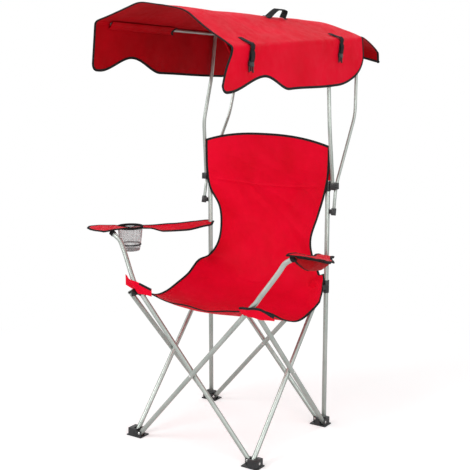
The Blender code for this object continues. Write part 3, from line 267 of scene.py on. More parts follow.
def coated_polyester(name, dark, light):
    """Red plain-weave cloth with a slight shine, small creases and uneven dye."""
    mat, nodes, links, shader = new_material(name, light, 0.55)
    (warp, weft), _ = threads_of(nodes, links, 0.0011, 0.0011)
    weave = sum_of(nodes, links, "MULTIPLY", warp, weft)
    coords = nodes.new("ShaderNodeTexCoord").outputs["Object"]
    dye = cloud(nodes, links, coords, 7.0, 4.0, 0.6)
    fleck = cloud(nodes, links, coords, 900.0, 1.0)
    tone = sum_of(nodes, links, "ADD", dye, sum_of(nodes, links, "MULTIPLY", weave, 0.05))
    tone = sum_of(nodes, links, "ADD", tone, sum_of(nodes, links, "MULTIPLY", fleck, 0.08))
    links.new(colour_steps(nodes, links, tone, [(0.36, dark), (0.70, light)]), shader.inputs["Base Color"])
    rough_range(nodes, links, cloud(nodes, links, coords, 40.0, 3.0), shader, 0.48, 0.66)
    creases = cloud(nodes, links, coords, 17.0, 5.0, 0.55)
    crush = cloud(nodes, links, coords, 75.0, 3.0, 0.6)
    low = bump_on(nodes, links, creases, 0.30, 0.010)
    mid = bump_on(nodes, links, crush, 0.20, 0.0020, low)
    links.new(bump_on(nodes, links, weave, 0.40, 0.0002, mid), shader.inputs["Normal"])
    shader.inputs["Sheen Weight"].default_value = 0.015
    shader.inputs["Sheen Roughness"].default_value = 0.4
    shader.inputs["Specular IOR Level"].default_value = 0.06
    return mat


def woven_tape(name, colour, rib, stitched=False):
    """Black woven tape with fine cross ribs and, on bindings, a row of stitches near the inner edge."""
    mat, nodes, links, shader = new_material(name, colour, 0.80)
    (across, along), split = threads_of(nodes, links, 0.0030, rib)
    coords = nodes.new("ShaderNodeTexCoord").outputs["Object"]
    fuzz = cloud(nodes, links, coords, 160.0, 4.0, 0.6)
    tone = sum_of(nodes, links, "ADD", fuzz, sum_of(nodes, links, "MULTIPLY", along, 0.10))
    dark = tuple(c * 0.5 for c in colour)
    pale = tuple(c * 2.2 + 0.004 for c in colour)
    shade = colour_steps(nodes, links, tone, [(0.30, dark), (0.80, pale)])
    normal = bump_on(nodes, links, along, 0.5, 0.0003, bump_on(nodes, links, fuzz, 0.25, 0.0004))
    if stitched:
        turns = sum_of(nodes, links, "MULTIPLY", split.outputs["Y"], 2 * math.pi / 0.0042)
        dash = sum_of(nodes, links, "GREATER_THAN", sum_of(nodes, links, "SINE", turns, 0), -0.35)
        offset = sum_of(nodes, links, "SUBTRACT", split.outputs["X"], 0.0060)
        offset = sum_of(nodes, links, "ABSOLUTE", offset, 0)
        line = sum_of(nodes, links, "LESS_THAN", offset, 0.00045)
        stitch = sum_of(nodes, links, "MULTIPLY", dash, line)
        mix = nodes.new("ShaderNodeMix")
        mix.data_type = "RGBA"
        links.new(stitch, mix.inputs["Factor"])
        links.new(shade, mix.inputs["A"])
        thread = [(0.3, (0.03, 0.03, 0.03)), (0.7, (0.06, 0.06, 0.06))]
        links.new(colour_steps(nodes, links, fuzz, thread), mix.inputs["B"])
        shade = mix.outputs["Result"]
        normal = bump_on(nodes, links, stitch, 0.6, 0.0004, normal)
    links.new(shade, shader.inputs["Base Color"])
    links.new(normal, shader.inputs["Normal"])
    shader.inputs["Specular IOR Level"].default_value = 0.12
    return mat


def powder_coat(name, dark, light):
    """Grey paint on steel tube, with a faint orange peel and fine scuffs."""
    mat, nodes, links, shader = new_material(name, light, 0.36, 0.70)
    coords = nodes.new("ShaderNodeTexCoord").outputs["Object"]
    tone = cloud(nodes, links, coords, 14.0, 4.0, 0.6)
    links.new(colour_steps(nodes, links, tone, [(0.3, dark), (0.7, light)]), shader.inputs["Base Color"])
    rough_range(nodes, links, cloud(nodes, links, coords, 60.0, 6.0, 0.7), shader, 0.28, 0.46)
    peel = cloud(nodes, links, coords, 900.0, 2.0)
    links.new(bump_on(nodes, links, peel, 0.08, 0.0002), shader.inputs["Normal"])
    shader.inputs["Coat Weight"].default_value = 0.2
    shader.inputs["Coat Roughness"].default_value = 0.2
    return mat


def moulded_plastic(name, colour):
    """Black moulded plastic with a fine grain and greyed high spots."""
    mat, nodes, links, shader = new_material(name, colour, 0.42)
    coords = nodes.new("ShaderNodeTexCoord").outputs["Object"]
    wear = cloud(nodes, links, coords, 70.0, 5.0, 0.65)
    grey = tuple(c * 2.5 + 0.008 for c in colour)
    links.new(colour_steps(nodes, links, wear, [(0.45, colour), (0.85, grey)]), shader.inputs["Base Color"])
    rough_range(nodes, links, wear, shader, 0.32, 0.55)
    grain = cloud(nodes, links, coords, 1500.0, 2.0)
    links.new(bump_on(nodes, links, grain, 0.15, 0.0002), shader.inputs["Normal"])
    return mat


def plated_steel(name, dark, light):
    """Plated steel with a hazed surface."""
    mat, nodes, links, shader = new_material(name, light, 0.25, 1.0)
    coords = nodes.new("ShaderNodeTexCoord").outputs["Object"]
    haze = cloud(nodes, links, coords, 300.0, 4.0)
    links.new(colour_steps(nodes, links, haze, [(0.3, dark), (0.7, light)]), shader.inputs["Base Color"])
    rough_range(nodes, links, haze, shader, 0.18, 0.36)
    return mat


red_cloth = coated_polyester("red_coated_polyester", (0.68, 0.0002, 0.014), (0.80, 0.0005, 0.024))
# The inner face is the red cloth at about half its brightness: painted shade for the canopy's underside, the
# pocket's second side and the rail strips.
shaded_red_inner = coated_polyester("red_inner_face_painted_shade", (0.34, 0.0003, 0.003), (0.44, 0.0006, 0.006))
binding_tape = woven_tape("black_binding_tape", (0.010, 0.010, 0.010), 0.0016, stitched=True)
webbing = woven_tape("black_webbing", (0.013, 0.013, 0.014), 0.0022)
net_yarn = woven_tape("pale_net_yarn", (0.36, 0.36, 0.36), 0.0012)
grey_paint = powder_coat("grey_powder_coat", (0.36, 0.40, 0.37), (0.46, 0.49, 0.46))
black_plastic = moulded_plastic("black_moulded_plastic", (0.010, 0.010, 0.011))
steel = plated_steel("plated_steel", (0.48, 0.48, 0.47), (0.72, 0.72, 0.70))
black_steel = plated_steel("blackened_steel", (0.020, 0.020, 0.020), (0.050, 0.050, 0.052))


# Making pieces
def deselect_all():
    if bpy.context.object and bpy.context.object.mode != "OBJECT":
        bpy.ops.object.mode_set(mode="OBJECT")
    bpy.ops.object.select_all(action="DESELECT")


def only(obj):
    deselect_all()
    obj.select_set(True)
    bpy.context.view_layer.objects.active = obj


def add_change(obj, kind, **settings):
    """Add a modifier with these settings and apply it."""
    only(obj)
    change = obj.modifiers.new(kind.lower(), kind)
    for name, value in settings.items():
        setattr(change, name, value)
    bpy.ops.object.modifier_apply(modifier=change.name)


def round_edges(obj, width, angle=40, segments=2, **settings):
    """Bevel the edges that turn by more than an angle in degrees."""
    add_change(obj, "BEVEL", width=width, segments=segments, limit_method="ANGLE",
               angle_limit=math.radians(angle), **settings)


def joined(name, objs):
    deselect_all()
    for obj in objs:
        obj.select_set(True)
    bpy.context.view_layer.objects.active = objs[0]
    if len(objs) > 1:
        bpy.ops.object.join()
    objs[0].name = name
    return objs[0]


def finished(obj, finish, body, nodes=(), smooth=35, inner_shade=None):
    """Paint a piece, shade it, let it ride its body and stand for its CAD nodes."""
    only(obj)
    bpy.ops.object.transform_apply(location=True, rotation=True, scale=True)
    places = [face.material_index for face in obj.data.polygons]
    obj.data.materials.clear()
    obj.data.materials.append(finish)
    # A second finish, when given, is the darker red that paints shade on the faces set to it.
    if inner_shade:
        obj.data.materials.append(inner_shade)
        obj.data.polygons.foreach_set("material_index", places)
    bpy.ops.object.shade_smooth_by_angle(angle=math.radians(smooth))
    deselect_all()
    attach(obj, body)
    if nodes:
        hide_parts(*nodes)
    return obj


def cleaned(obj, dist=0.00002, fill=False):
    """Merge doubled points, close open ends when asked, and turn every face outwards."""
    only(obj)
    bpy.ops.object.mode_set(mode="EDIT")
    bpy.ops.mesh.select_all(action="SELECT")
    bpy.ops.mesh.remove_doubles(threshold=dist)
    if fill:
        bpy.ops.mesh.select_all(action="DESELECT")
        bpy.ops.mesh.select_mode(type="EDGE")
        bpy.ops.mesh.select_non_manifold(extend=False)
        bpy.ops.mesh.edge_face_add()
        bpy.ops.mesh.select_mode(type="VERT")
    bpy.ops.mesh.select_all(action="SELECT")
    bpy.ops.mesh.normals_make_consistent(inside=False)
    bpy.ops.object.mode_set(mode="OBJECT")
    return obj


def grid_surface(name, columns, rows, surface, spread, keep=None):
    """A flat grid whose points go to surface(u, v); keep(u, v) says which faces stay."""
    deselect_all()
    bpy.ops.mesh.primitive_grid_add(x_subdivisions=columns, y_subdivisions=rows, size=2)
    obj = bpy.context.object
    obj.name = name
    layer = obj.data.uv_layers[0]
    layer.name = "cloth"
    for item in obj.data.uv_layers["cloth"].data:
        item.uv = (item.uv[0] * spread[0], item.uv[1] * spread[1])
    if keep:
        for face in obj.data.polygons:
            face.select = not keep((face.center.x + 1) / 2, (face.center.y + 1) / 2)
        for vert in obj.data.vertices:
            vert.select = False
        for edge in obj.data.edges:
            edge.select = False
    for vert in obj.data.vertices:
        vert.co = surface((vert.co.x + 1) / 2, (vert.co.y + 1) / 2)
    if keep:
        bpy.ops.object.mode_set(mode="EDIT")
        bpy.ops.mesh.select_mode(type="FACE")
        bpy.ops.mesh.delete(type="FACE")
        bpy.ops.mesh.select_mode(type="VERT")
        bpy.ops.object.mode_set(mode="OBJECT")
    return obj


def cloth_piece(name, columns, rows, surface, spread, thickness, keep=None, shaded_inside=False):
    """A cloth sheet with its thickness, and the area that it was cut to."""
    obj = grid_surface(name, columns, rows, surface, spread, keep)
    area = sum(face.area for face in obj.data.polygons)
    # When asked, the shell that solidify adds takes a second, darker red: painted shade on that side of the
    # sheet.
    if shaded_inside:
        obj.data.materials.append(red_cloth)
        obj.data.materials.append(shaded_red_inner)
    add_change(obj, "SOLIDIFY", thickness=thickness, offset=0, material_offset=1 if shaded_inside else 0)
    return obj, area


TAPE_PROFILE = ((-0.08, 0.0), (-0.03, 0.36), (0.12, 0.5), (0.80, 0.5), (0.97, 0.30), (1.0, 0.0),
                (0.97, -0.30), (0.80, -0.5), (0.12, -0.5), (-0.03, -0.36))


def tape_on(name, points, inward, width=TAPE_W, thick=TAPE_T):
    """Binding folded over an edge: a flat rounded band along points, closed at both ends."""
    count = len(TAPE_PROFILE)
    last = len(points) - 1
    runs = [0.0]
    for a, b in zip(points, points[1:]):
        runs.append(runs[-1] + (b - a).length)
    normals = []
    for i in range(last + 1):
        run = points[min(last, i + 1)] - points[max(0, i - 1)]
        normals.append(run.cross(inward[i]).normalized())

    def place(u, v):
        i = round(v * last)
        across, up = TAPE_PROFILE[round(u * count) % count]
        return points[i] + inward[i] * (across * width) + normals[i] * (up * thick)

    obj = grid_surface(name, count, last, place, (1, 1))
    layer = obj.data.uv_layers["cloth"].data
    for item in layer:
        k = round(item.uv[0] * count) % count
        item.uv = (TAPE_PROFILE[k][0] * width, runs[round(item.uv[1] * last)])
    return cleaned(obj, fill=True)


def hem(name, surface, path, toward, steps, width=TAPE_W, thick=TAPE_T):
    """Binding along a line of shares: path(t) runs on the edge and toward(t) lies inside it."""
    points = [surface(*path(i / steps)) for i in range(steps + 1)]
    inward = []
    for i in range(steps + 1):
        run = (points[min(steps, i + 1)] - points[max(0, i - 1)]).normalized()
        inside = surface(*toward(i / steps)) - points[i]
        inward.append((inside - run * inside.dot(run)).normalized())
    return tape_on(name, points, inward, width, thick)


def bent_path(corners, radius, steps=12):
    """Points along straight runs between corners, with each inner corner turned on an arc."""
    points = [corners[0]]
    for before, corner, after in zip(corners, corners[1:], corners[2:]):
        back = (before - corner).normalized()
        ahead = (after - corner).normalized()
        half = back.angle(ahead) / 2
        run = min(radius / math.tan(half), (before - corner).length / 2, (after - corner).length / 2)
        swing = run * math.tan(half)
        centre = corner + (back + ahead).normalized() * (swing / math.sin(half))
        start = corner + back * run - centre
        finish = corner + ahead * run - centre
        axis = start.cross(finish).normalized()
        for step in range(steps + 1):
            points.append(centre + Matrix.Rotation(start.angle(finish) * step / steps, 3, axis) @ start)
    points.append(corners[-1])
    return points


def bar_along(name, points, radius, sides=24, capped=False):
    """A round bar or open pipe skin along points."""
    deselect_all()
    curve = bpy.data.curves.new(name, "CURVE")
    curve.dimensions = "3D"
    curve.bevel_depth = radius
    curve.bevel_resolution = sides // 2 - 2
    curve.use_fill_caps = capped
    spline = curve.splines.new("POLY")
    spline.points.add(len(points) - 1)
    for target, point in zip(spline.points, points):
        target.co = (*point, 1)
    obj = bpy.data.objects.new(name, curve)
    bpy.context.scene.collection.objects.link(obj)
    only(obj)
    bpy.ops.object.convert(target="MESH")
    return cleaned(bpy.context.object)


def pipe(name, points, radius, wall):
    """A hollow tube, open at both ends, with the cut edges broken."""
    obj = bar_along(name, points, radius)
    add_change(obj, "SOLIDIFY", thickness=wall, offset=-1)
    round_edges(obj, wall * 0.3, 60)
    return obj


def steel_tube(node, points, radius, body, wall=TUBE_WALL):
    return finished(pipe("round_" + node, points, radius, wall), grey_paint, body, [node])


# Frame tubes
def cross_line(start, end):
    along = (end - start).normalized() * TUBE_END
    return [start - along, end + along]


def spaced(points, gap):
    """The same line with points no further apart than gap."""
    out = [points[0]]
    for a, b in zip(points, points[1:]):
        steps = max(1, math.ceil((b - a).length / gap))
        out += [a.lerp(b, i / steps) for i in range(1, steps + 1)]
    return out


def arm_line(foot, y):
    """A front tube: from its foot across to the far seat corner and up to the armrest."""
    low = Vector((foot * HALF_SPAN, y, FOOT_PIN_Z))
    top = Vector((-foot * HALF_SPAN, y, TOP_PIN_Z))
    seat_x = HALF_SPAN + (SEAT_BEND_Z - TOP_PIN_Z) * math.tan(LEAN)
    arm_x = seat_x + (ARM_BEND_Z - SEAT_BEND_Z) * math.tan(ARM_LEAN)
    end_z = ARM_BEND_Z + (ARM_END_X - arm_x) / math.tan(ARM_END_LEAN)
    corners = [cross_line(low, top)[0]]
    for x, z in ((seat_x, SEAT_BEND_Z), (arm_x, ARM_BEND_Z), (ARM_END_X, end_z)):
        corners.append(Vector((-foot * x, y, z)))
    points = []
    for point in spaced(bent_path(corners, BEND_R), 0.012):
        share = max(0, min(1, (point.z - SEAT_Z) / (ARM_BEND_Z - SEAT_Z)))
        share = share * share * (3 - 2 * share)
        points.append(point + Y_AXIS * (ARM_SET_BACK * share) - X_AXIS * (foot * ARM_SET_OUT[foot] * share))
    return points


def twisted(point, share):
    """Turn a point about the hub axis by a share of the canopy's twist."""
    hub = Vector((0, POST_Y, HUB_Z))
    turn = Matrix.Rotation(CANOPY_TWIST * max(-1, min(1, share)), 3, "X")
    return hub + turn @ (Vector(point) - hub)


def leaning(point, share):
    """Twist a point of the canopy and lower the canopy's left side."""
    return twisted(point, share) - Z_AXIS * (LEFT_DROP * max(-1, min(1, share)))


def panel_height(x, share=0.5):
    rise = RISE_FRONT + (RISE_REAR - RISE_FRONT) * share
    out = abs(x)
    if out >= RIDGE_W:
        return rise * (CANOPY_W - out) / (CANOPY_W - RIDGE_W)
    return rise + TOP_CROWN * (1 - (out / RIDGE_W) ** 2)


def rail_under_cloth(side, y):
    """The rail's centre below the slanting panel at y."""
    panel_x = CANOPY_W - (CANOPY_W - RIDGE_W) / 3
    share = (y - MIDDLE_Y - CANOPY_FRONT_Y) / (CANOPY_BEND_Y - CANOPY_FRONT_Y)
    fold = leaning((side * CANOPY_W, y, FOLD_Z), side)
    panel = leaning((side * panel_x, y, FOLD_Z + panel_height(panel_x, share)), side * panel_x / RAIL_X)
    spot = fold.lerp(panel, (CANOPY_W - RAIL_X) / (CANOPY_W - panel_x))
    slope = math.atan2(panel.z - fold.z, CANOPY_W - panel_x)
    return spot - Z_AXIS * (RAIL_R + 0.0005 + CAD_CLOTH_T / 2) / math.cos(slope)


def rail_ends(side):
    front = rail_under_cloth(side, MIDDLE_Y + CANOPY_FRONT_Y + FRONT_BOW)
    return front, rail_under_cloth(side, POST_Y + BRACE_TOP_BACK + RAIL_R)


def rail_spot(side, y):
    """The place on the rail where the top of an upright at y meets it."""
    front, rear = rail_ends(side)
    upright = leaning((side * RAIL_X, y, FOLD_Z), side)
    return front.lerp(rear, (upright.y - front.y) / (rear.y - front.y)) - Z_AXIS * (RAIL_R * 0.8)


def make_scissor_tubes():
    for foot, letter in ((-1, "a"), (1, "b")):
        lap = -TUBE_STEP if letter == "a" else TUBE_STEP
        node = "front_tube_" + letter
        steel_tube(node, arm_line(foot, FRONT_PLANE_Y + lap), TUBE_R, node)
        low = Vector((foot * HALF_SPAN, REAR_PLANE_Y + lap, FOOT_PIN_Z))
        high = Vector((-foot * HALF_SPAN, REAR_PLANE_Y + lap, TOP_PIN_Z))
        node = "rear_tube_" + letter
        steel_tube(node, cross_line(low, high), TUBE_R, node)
    for side, name in SIDES:
        for letter, foot_y, lap in (("a", -HALF_SPAN, -TUBE_STEP), ("b", HALF_SPAN, TUBE_STEP)):
            low = Vector((side * (POST_X + lap), MIDDLE_Y + foot_y, FOOT_PIN_Z))
            high = Vector((side * (POST_X + lap), MIDDLE_Y - foot_y, TOP_PIN_Z))
            node = name + "_side_tube_" + letter
            steel_tube(node, cross_line(low, high), TUBE_R, node)


def make_side_frames():
    """Posts, and on each the canopy tube, brace and rail of a side frame."""
    for side, name in SIDES:
        post = [Vector((side * POST_X, POST_Y, z)) for z in (POST_FOOT_Z, POST_TOP_Z)]
        steel_tube(name + "_post", post, TUBE_R, name + "_post")
        body = name + "_canopy_frame"
        hub = Vector((side * SIDE_FRAME_X, POST_Y, HUB_Z))
        knee = twisted((hub.x, POST_Y - FRONT_TUBE_LEAN, FRONT_TUBE_BEND_Z), side)
        top = rail_spot(side, POST_Y + FRONT_TUBE_TOP_BACK)
        entry = knee.lerp(top, FLAP_PASS_SHARE)
        entry.x = side * RAIL_X
        start = hub - (knee - hub).normalized() * 0.006
        line = bent_path([start, knee, entry, top], BEND_R * 4)
        steel_tube(name + "_canopy_tube", line, CANOPY_TUBE_R, body, THIN_WALL)
        steel_tube(name + "_canopy_brace", brace_line(side), RAIL_R, body, THIN_WALL)
        front, rear = rail_ends(side)
        rail = [front.lerp(rear, RAIL_MOUTH), rear]
        steel_tube(name + "_canopy_rail", rail, RAIL_R, body, THIN_WALL)


def brace_line(side):
    x = side * (SIDE_FRAME_X + BRACE_OUT)
    turns = ((-BRACE_END_FORE, BRACE_END_Z), (BRACE_HUB_BACK, HUB_Z), (BRACE_KNEE_BACK, BRACE_KNEE_Z))
    corners = [twisted((x, POST_Y + y, z), side) for y, z in turns]
    corners.append(rail_spot(side, POST_Y + BRACE_TOP_BACK))
    return bent_path(corners, BEND_R * 4)


# Moulded pieces keep their CAD shape, with their edges rounded over
PLASTIC_EDGE = 0.0009
PLUG_LOWERED = 0.011


def softened(node, finish, edge, lower=0.0):
    source = frame["nodes"][node]
    copy = bpy.data.objects.new("moulded_" + node, source.data.copy())
    copy.data.materials.clear()
    bpy.context.scene.collection.objects.link(copy)
    copy.matrix_world = Matrix.Translation((0, 0, -lower)) @ source.matrix_world
    only(copy)
    bpy.ops.object.mode_set(mode="EDIT")
    bpy.ops.mesh.select_all(action="SELECT")
    bpy.ops.mesh.remove_doubles(threshold=0.00002)
    bpy.ops.mesh.dissolve_limited(angle_limit=math.radians(1.0))
    bpy.ops.mesh.normals_make_consistent(inside=False)
    bpy.ops.object.mode_set(mode="OBJECT")
    round_edges(copy, edge, 38, use_clamp_overlap=True)
    body = body_of(source)
    return finished(copy, finish, body if isinstance(body, str) else body[0], [node], 40)


def between(table, share):
    """The row of a table at a share, eased between its neighbours."""
    for low, high in zip(table, table[1:]):
        if share <= high[0]:
            t = (share - low[0]) / (high[0] - low[0])
            t = t * t * (3 - 2 * t)
            return [a + (b - a) * t for a, b in zip(low[1:], high[1:])]
    return list(table[-1][1:])


# Canopy cloth
FOLD_AT = 0.17
RIDGE_AT = 0.388
CANOPY_RUN = CANOPY_BEND_Y - CANOPY_FRONT_Y
CANOPY_LENGTH = CANOPY_RUN + CANOPY_BEND_R * CANOPY_BEND + REAR_HEM
CANOPY_GIRTH = 0.837
CANOPY_COLUMNS = 148
CANOPY_ROWS = 190
FOLD_SOFT = 0.013
RIDGE_SOFT = 0.030
ROW_EASE = 0.30
SLACK_H = 0.0045
RIPPLE_H = 0.0016


def arc_at(v):
    """Length along the canopy at share v, with closer rows near the front hem."""
    return CANOPY_LENGTH * (v * (1 - ROW_EASE) + ROW_EASE * v * v)


def row_share(arc):
    """The share v that lies at a length along the canopy."""
    slope = 1 - ROW_EASE
    return (math.sqrt(slope ** 2 + 4 * ROW_EASE * arc / CANOPY_LENGTH) - slope) / (2 * ROW_EASE)


FLAP_ARC = FLAP_END_Y - CANOPY_FRONT_Y
FLAP_SHARE = row_share(FLAP_ARC)

# Depth of each flap at lengths from the front hem, then its rear corner's length and rise
FLAP_DEPTHS = {
    -1: ((0.0, 0.149), (0.035, 0.150), (0.190, 0.106), (0.340, 0.151), (0.60, 0.154), (0.84, 0.154)),
    1: ((0.0, 0.127), (0.035, 0.128), (0.190, 0.095), (0.330, 0.142), (0.60, 0.151), (0.84, 0.153)),
}
FLAP_END_CORNER = {-1: 0.14, 1: 0.20}
FLAP_END_RISE = 0.098
# The left front corner: the cloth above it is pulled back and its flap reaches forward
NEAR_PULL = 0.030
NEAR_PULL_RUN = 0.13
NEAR_REACH = 0.034
NEAR_REACH_RUN = 0.11


def flap_depth(arc, side):
    """Depth of a side flap: a round front corner, one wave, then straight to a long round rear corner."""
    depth = between(FLAP_DEPTHS[side], arc)[0]
    if arc < FLAP_FRONT_CORNER:
        depth -= FLAP_FRONT_CORNER - math.sqrt(max(0, arc * (2 * FLAP_FRONT_CORNER - arc)))
    left = (FLAP_ARC - arc) / FLAP_END_CORNER[side]
    if left < 1:
        depth -= FLAP_END_RISE * (1 - math.sqrt(max(0, 1 - (1 - left) ** 2)))
    return depth


def soft_line(corners, places, softness, at):
    """A point at a share along a line of corners, with the inner corners rounded."""
    def straight(t):
        for (a, b), (low, high) in zip(zip(corners, corners[1:]), zip(places, places[1:])):
            if t <= high:
                k = (t - low) / (high - low)
                return a[0] + (b[0] - a[0]) * k, a[1] + (b[1] - a[1]) * k
        return corners[-1]
    for corner, place, soft in zip(corners[1:-1], places[1:-1], softness):
        if abs(at - place) < soft:
            k = (at - place + soft) / (2 * soft)
            a, b = straight(place - soft), straight(place + soft)
            return tuple((1 - k) ** 2 * p + 2 * k * (1 - k) * q + k * k * r for p, q, r in zip(a, corner, b))
    return straight(at)


# How steeply the cloth falls, in radians, at lengths past the rail ends
REAR_FALLS = ((0.0, 0.05), (0.045, 0.38), (0.115, 0.48), (0.146, 0.62), (0.160, 1.50), (0.30, 1.57))


def rear_fall(run):
    """How far back and how far down the cloth has gone after a run past the rail ends."""
    steps = 24
    back = down = 0
    for i in range(steps):
        angle = between(REAR_FALLS, run * (i + 0.5) / steps)[0]
        back += run / steps * math.cos(angle)
        down += run / steps * math.sin(angle)
    return back, down


def canopy_surface(u, v):
    """u runs from the right hem to the left hem, v from the front hem to the rear hem."""
    side = -1 if u < 0.5 else 1
    out = min(u, 1 - u)
    arc = arc_at(v)
    past, drop = rear_fall(max(0, arc - CANOPY_RUN))
    y = CANOPY_FRONT_Y + min(arc, CANOPY_RUN) + past
    share = min(1, arc / CANOPY_RUN)
    depth = flap_depth(min(arc, FLAP_ARC), side)
    rise = RISE_FRONT + (RISE_REAR - RISE_FRONT) * share
    corners = ((CANOPY_W + FLAP_FLARE * depth / FLAP_DEPTH, -depth), (CANOPY_W, 0.0), (RIDGE_W, rise),
               (0.0, rise + TOP_CROWN))
    x, height = soft_line(corners, (0, FOLD_AT, RIDGE_AT, 0.5), (FOLD_SOFT, RIDGE_SOFT), out)
    height = height * (1 - drop / FLAP_DEPTH * 0.35) if height > 0 else height
    front = 1 - min(1, arc / FLAP_ARC)
    y += FRONT_BOW * (1 - (x / CANOPY_W) ** 2) * front
    if side > 0:
        y += NEAR_PULL * math.exp(-(arc / NEAR_PULL_RUN) ** 2) * math.exp(-((out - FOLD_AT) / 0.075) ** 2)
        y -= NEAR_REACH * math.exp(-(arc / NEAR_REACH_RUN) ** 2) * max(0, 1 - out / FOLD_AT) ** 1.5
    slack = noise.noise(Vector((x * side * 7, y * 6, 3.1)))
    ripple = noise.noise(Vector((x * side * 16 + 9, y * 13, 8.4)))
    loose = SLACK_H * slack + RIPPLE_H * ripple
    point = leaning((x * side, MIDDLE_Y + y, FOLD_Z + height - drop), x * side / RAIL_X)
    if out < FOLD_AT:
        hang = 1 - out / FOLD_AT
        return point + X_AXIS * (side * loose * hang * 1.4)
    pinned = min(1, (out - FOLD_AT) / 0.05) * (1 - 0.6 * math.exp(-((out - RIDGE_AT) / 0.02) ** 2))
    return point + Z_AXIS * (loose * pinned)


def make_canopy(extras):
    """One continuous cloth: side flap, slanting panel, flat top, slanting panel and side flap."""
    def keep(u, v):
        return FOLD_AT < u < 1 - FOLD_AT or v < FLAP_SHARE

    # The sheet's second side takes the darker red: painted shade under the canopy.
    cloth, area = cloth_piece("canopy_cloth", CANOPY_COLUMNS, CANOPY_ROWS, canopy_surface,
                              (CANOPY_GIRTH, CANOPY_LENGTH), CLOTH_T, keep, True)
    bindings = [hem("front_hem", canopy_surface, lambda t: (t, 0.0), lambda t: (t, 0.008), 240)]
    for edge, inner, fold in ((0.0, 0.012, FOLD_AT), (1.0, 0.988, 1 - FOLD_AT)):
        lean = 0.01 if edge == 0.0 else -0.01
        bindings.append(hem("flap_hem", canopy_surface, lambda t, e=edge: (e, t * FLAP_SHARE),
                            lambda t, i=inner: (i, t * FLAP_SHARE), 260))
        bindings.append(hem("flap_end", canopy_surface,
                            lambda t, e=edge, f=fold: (e + (f - e) * t, FLAP_SHARE),
                            lambda t, e=edge, f=fold: (e + (f - e) * t, FLAP_SHARE - 0.01), 30))
        bindings.append(hem("rear_side_hem", canopy_surface,
                            lambda t, f=fold: (f, FLAP_SHARE + (1 - FLAP_SHARE) * t),
                            lambda t, f=fold, d=lean: (f + d, FLAP_SHARE + (1 - FLAP_SHARE) * t), 50))
    bindings.append(hem("rear_hem", canopy_surface, lambda t: (FOLD_AT + (1 - 2 * FOLD_AT) * t, 1.0),
                        lambda t: (FOLD_AT + (1 - 2 * FOLD_AT) * t, 0.985), 140))
    binding = finished(joined("canopy_binding", bindings), binding_tape, "right_canopy_frame")
    # The darker red of the canopy's underside is painted shade.
    finished(cloth, red_cloth, "right_canopy_frame", ["canopy"], inner_shade=shaded_red_inner)
    return [cloth, binding] + extras


# Each cloth strip on a rail: where it starts and ends along the rail, and which end has the open mouth
RAIL_STRIPS = ((0.022, 0.44, 1), (0.82, 0.995, 0))
STRIP_REACH = 0.024


def make_rail_sleeves():
    """Cloth strips that hold each rail in the fold, sewn to the flap and to the slanting panel."""
    strips, mouths = [], []
    for side, name in SIDES:
        front, rear = rail_ends(side)
        for low, high, mouth in RAIL_STRIPS:
            def strip(u, v, s=side, low=low, high=high, mouth=mouth):
                share = low + (high - low) * v
                at = front.lerp(rear, share)
                y = at.y - MIDDLE_Y
                run = (y - CANOPY_FRONT_Y) / CANOPY_RUN
                slope = math.atan2(panel_height(RIDGE_W, run), CANOPY_W - RIDGE_W)
                hang = leaning((s * (CANOPY_W - 0.0022), at.y, FOLD_Z - 0.019), s)
                panel = leaning((s * (CANOPY_W - STRIP_REACH * math.cos(slope)), at.y,
                                 FOLD_Z + STRIP_REACH * math.sin(slope) - 0.0030), s * 0.9)
                open_share = min(1, (1 - abs(mouth - v)) / 0.05)
                inner = Vector((-s * 0.77, 0, -0.64)) * (RAIL_R + 0.0026)
                middle = (at + inner).lerp((hang + panel) / 2, 1 - open_share)
                pull = middle * 2 - (hang + panel) / 2
                return hang * (1 - u) ** 2 + pull * (2 * u * (1 - u)) + panel * u ** 2

            strips.append(grid_surface("rail_strip", 14, 30, strip, (0.06, 0.30)))
            edge = [strip(i / 14, mouth) for i in range(15)]
            inward = [(strip(i / 14, abs(mouth - 0.04)) - edge[i]).normalized() for i in range(15)]
            mouths.append(tape_on("strip_mouth", edge, inward, 0.012, 0.0030))
    strip = joined("rail_strips", strips)
    add_change(strip, "SOLIDIFY", thickness=0.0010, offset=0)
    mouth = joined("rail_strip_mouths", mouths)
    # The strips are wholly in the darker red: painted shade inside the fold.
    finished(strip, shaded_red_inner, "right_canopy_frame")
    finished(mouth, webbing, "right_canopy_frame")
    return [strip, mouth]


STRAP_W = 0.020
STRAP_ABOVE = 0.046
STRAP_BELOW = 0.053
STRAP_LEAN = -0.016
STRAP_BULGE = 0.0030
WEB_T = 0.0018
STRAP_YS = {"front": -0.243, "rear": 0.298}


def beside_canopy(side, y, down, lift):
    """A point just outside the canopy at a length below (or above, when negative) its fold."""
    share = (y - CANOPY_FRONT_Y) / CANOPY_RUN
    if down < 0:
        slope = math.atan2(panel_height(RIDGE_W, share), CANOPY_W - RIDGE_W)
        x = CANOPY_W + down * math.cos(slope) + lift * math.sin(slope)
        z = FOLD_Z - down * math.sin(slope) + lift * math.cos(slope)
    else:
        x = CANOPY_W + lift + FLAP_FLARE * down / FLAP_DEPTH
        z = FOLD_Z - down
    return leaning((side * x, MIDDLE_Y + y, z), side)


def rounded_block(place, size, edge, cuts=0):
    """A small moulded block with its edges rounded over."""
    deselect_all()
    bpy.ops.mesh.primitive_cube_add(size=1, location=place, scale=size)
    block = bpy.context.object
    bpy.ops.object.transform_apply(location=True, rotation=True, scale=True)
    if cuts:
        bpy.ops.object.mode_set(mode="EDIT")
        bpy.ops.mesh.select_all(action="SELECT")
        bpy.ops.mesh.subdivide(number_cuts=cuts)
        bpy.ops.object.mode_set(mode="OBJECT")
    round_edges(block, edge)
    return block


